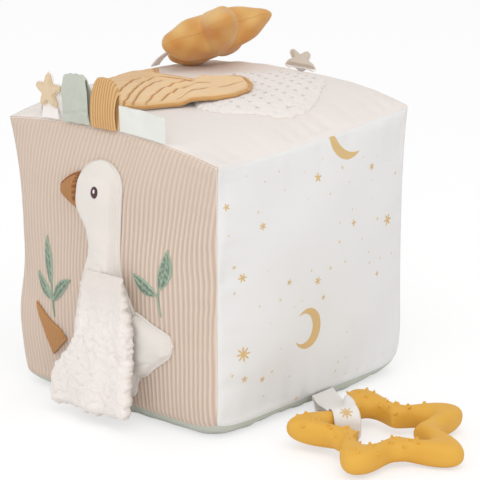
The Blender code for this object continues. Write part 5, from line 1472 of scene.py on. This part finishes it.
def clearOfRing(spots, low):
    # from the ring's core outward: offset times (1 + share^-12)^(1/12), share being 1 where the tape just clears the rubber
    ahead, aside, up, centre = teetherFrame()
    away = spots - centre
    x, y, high = away @ ahead, away @ aside, away @ up
    star = np.arctan2(y, x) - radians(teether["turn"])
    hole, rim, thick = teetherSection(star)
    room = strap["thickness"] / 2 + strap["ringGap"]
    wide, middle, radius = (rim - hole) / 2 + room, (rim + hole) / 2, np.hypot(x, y)
    power = 2 / teether["squareness"]
    share = (np.abs((radius - middle) / wide) ** power + np.abs(high / (thick + room)) ** power) ** (1 / power)
    push = (1 + np.maximum(share, 0.2) ** -12.0) ** (1 / 12)
    moved = (middle + (radius - middle) * push) / radius
    cleared = centre + (x * moved)[..., None] * ahead + (y * moved)[..., None] * aside + (high * push)[..., None] * up
    cleared[..., 2] = np.maximum(cleared[..., 2], low)
    return cleared


def strapLine(across):
    # the tape's middle line: up from the seam, round the ring as reach + width cos^r, height + half sin^r, and back below
    cross = teetherPoint(np.array([radians(180 + teether["turn"] + teether["crossing"])]), np.array([0.0, pi])).mean(axis=0)
    seam = blockPoint(1.0, strap["seamY"] / half, -1.0)
    heading = unit(cross[:2] - seam[:2])
    aside = np.array([-heading[1], heading[0]])
    low = strap["floorGap"] + strap["thickness"] / 2
    high = cross[2] + teether["notchThickness"] / 2 + strap["roof"]
    parted = strap["parting"] / 2 + strap["thickness"] / 2
    reach, centreHigh, halfHigh = np.linalg.norm(cross[:2] - seam[:2]), (high + low) / 2, (high - low) / 2
    width = (teether["notch"] - teether["holeNotch"]) / 2 + strap["clearance"] + strap["thickness"] / 2
    turn = np.radians(np.linspace(strap["archFrom"], -90, 48))
    arch = np.stack([reach + width * np.sign(np.cos(turn)) * np.abs(np.cos(turn)) ** strap["roundness"],
                     centreHigh + halfHigh * np.sign(np.sin(turn)) * np.abs(np.sin(turn)) ** strap["roundness"]], axis=1)
    foot, lift = arch[0], seam[2] + parted
    profile = np.concatenate([
        ((0.0, lift), (0.004, lift)), [(x * foot[0], lift + rise * (foot[1] - lift)) for x, rise in ((0.35, 0.1), (0.70, 0.62))],
        arch, ((0.40 * reach, low), (0.20 * reach, low), (0.004, seam[2] - parted), (0.0, seam[2] - parted))])
    profile = roundLine(profile, 279)
    shares = np.minimum(profile[:, 0] / (reach + width), 1.0)
    start = blockPoint(1.0, (strap["seamY"] + across / heading[0]) / half, -1.0)[:, :2] + np.array([strap["rootGap"], 0.0])
    end = cross[:2] + aside * across[:, None] + heading * width
    plan = start[None] + (end - start)[None] * shares[:, None, None]
    line = clearOfRing(np.concatenate([plan, np.repeat(profile[:, 1][:, None, None], len(across), axis=1)], axis=2), low)
    side = unit(np.cross(np.gradient(line, axis=0), np.array([*aside, 0.0])))
    return line, side


def makeStrap():
    across = np.linspace(-1, 1, 37)
    line, side = strapLine(across * strap["half"])
    edge = roundEdge((1 - np.abs(across)) * strap["half"], 0.0005)
    welt = 0.0002 * bell((1 - np.abs(across)) * strap["half"] - 0.0007, 0.0004)
    thick = side * ((strap["thickness"] / 2) * edge + welt)[None, :, None]
    run = travel(line[:, 18])
    skin = thickSkin(line + thick, line - side * (strap["thickness"] / 2 * edge)[None, :, None])
    addPiece("teetherStrap", skin, whiteTape, "strap", ["teether_strap"],
             pairs(across[None, :] * strap["half"], run[:, None]))
    centre = int(np.argmin(np.abs(run - strap["starPlace"] * run[-1])))
    skins = []
    for middle, size in ((centre, strap["starSize"]), (centre + 110, strap["starSize"] * 0.8)):
        out, turn = grid(np.linspace(0, 1, 4), fullTurn(64))
        radius = size * (0.34 + 0.66 * np.abs(np.cos(4 * turn)) ** 2.2) * out
        p, q = radius * np.cos(turn), run[middle] + radius * np.sin(turn)
        row = np.interp(q, run, np.arange(len(run)))
        column = (p / strap["half"] + 1) / 2 * (len(across) - 1)
        i, j = np.floor(row).astype(int), np.clip(np.floor(column).astype(int), 0, len(across) - 2)
        i = np.clip(i, 0, len(run) - 2)
        u, v = (row - i)[..., None], (column - j)[..., None]
        near, far = (line[i, k] * (1 - u) + line[i + 1, k] * u for k in (j, j + 1))
        spot = near * (1 - v) + far * v
        away = unit(side[i, j] * (1 - u) + side[i + 1, j] * u)
        above, below = (spot + away * (strap["thickness"] / 2 + film) for film in (0.0001, -0.0001))
        skins.append(thickSkin(above, below, wrap=True))
    skin = joinSkins(skins)
    addPiece("strapPrint", skin, goldPrint, "strap", uv=skin[0][:, :2])


makeTeether()
makeStrap()
print("teether and strap made")


# Inside: wadding, with tufts pressed in, and the rattle
def makeWadding(name, node):
    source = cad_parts[node]
    copy = bpy.data.objects.new(name, source.data.copy())
    bpy.context.scene.collection.objects.link(copy)
    mesh = copy.data
    made = bmesh.new()
    made.from_mesh(mesh)
    bmesh.ops.remove_doubles(made, verts=made.verts, dist=1e-6)
    made.to_mesh(mesh)
    made.free()
    modifier = copy.modifiers.new("tufts", "REMESH")
    modifier.mode, modifier.voxel_size = "VOXEL", 0.0028
    dense = bpy.data.meshes.new_from_object(copy.evaluated_get(bpy.context.evaluated_depsgraph_get()))
    copy.modifiers.clear()
    copy.data = dense
    points = np.empty(len(dense.vertices) * 3, np.float32)
    normals = np.empty(len(dense.vertices) * 3, np.float32)
    dense.vertices.foreach_get("co", points)
    dense.vertices.foreach_get("normal", normals)
    points, normals = points.reshape(-1, 3), normals.reshape(-1, 3)
    depth = 0.0009 * (0.5 + 0.5 * ripple(points[:, 0] + points[:, 2], points[:, 1] - points[:, 2], 111, 0.010))
    points = points - normals * (0.0004 + depth)[:, None]
    dense.vertices.foreach_set("co", points.astype(np.float32).ravel())
    dense.shade_smooth()
    dense.materials.clear()
    dense.materials.append(fluffyWadding)
    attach(copy, "block")
    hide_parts(node)


makeWadding("waddingLower", "wadding_lower")
makeWadding("waddingUpper", "wadding_upper")
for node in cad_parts:
    if node.startswith("rattle"):
        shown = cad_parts[node]
        shown.data.materials.clear()
        shown.data.materials.append(rattlePlastic)
print("inside made")
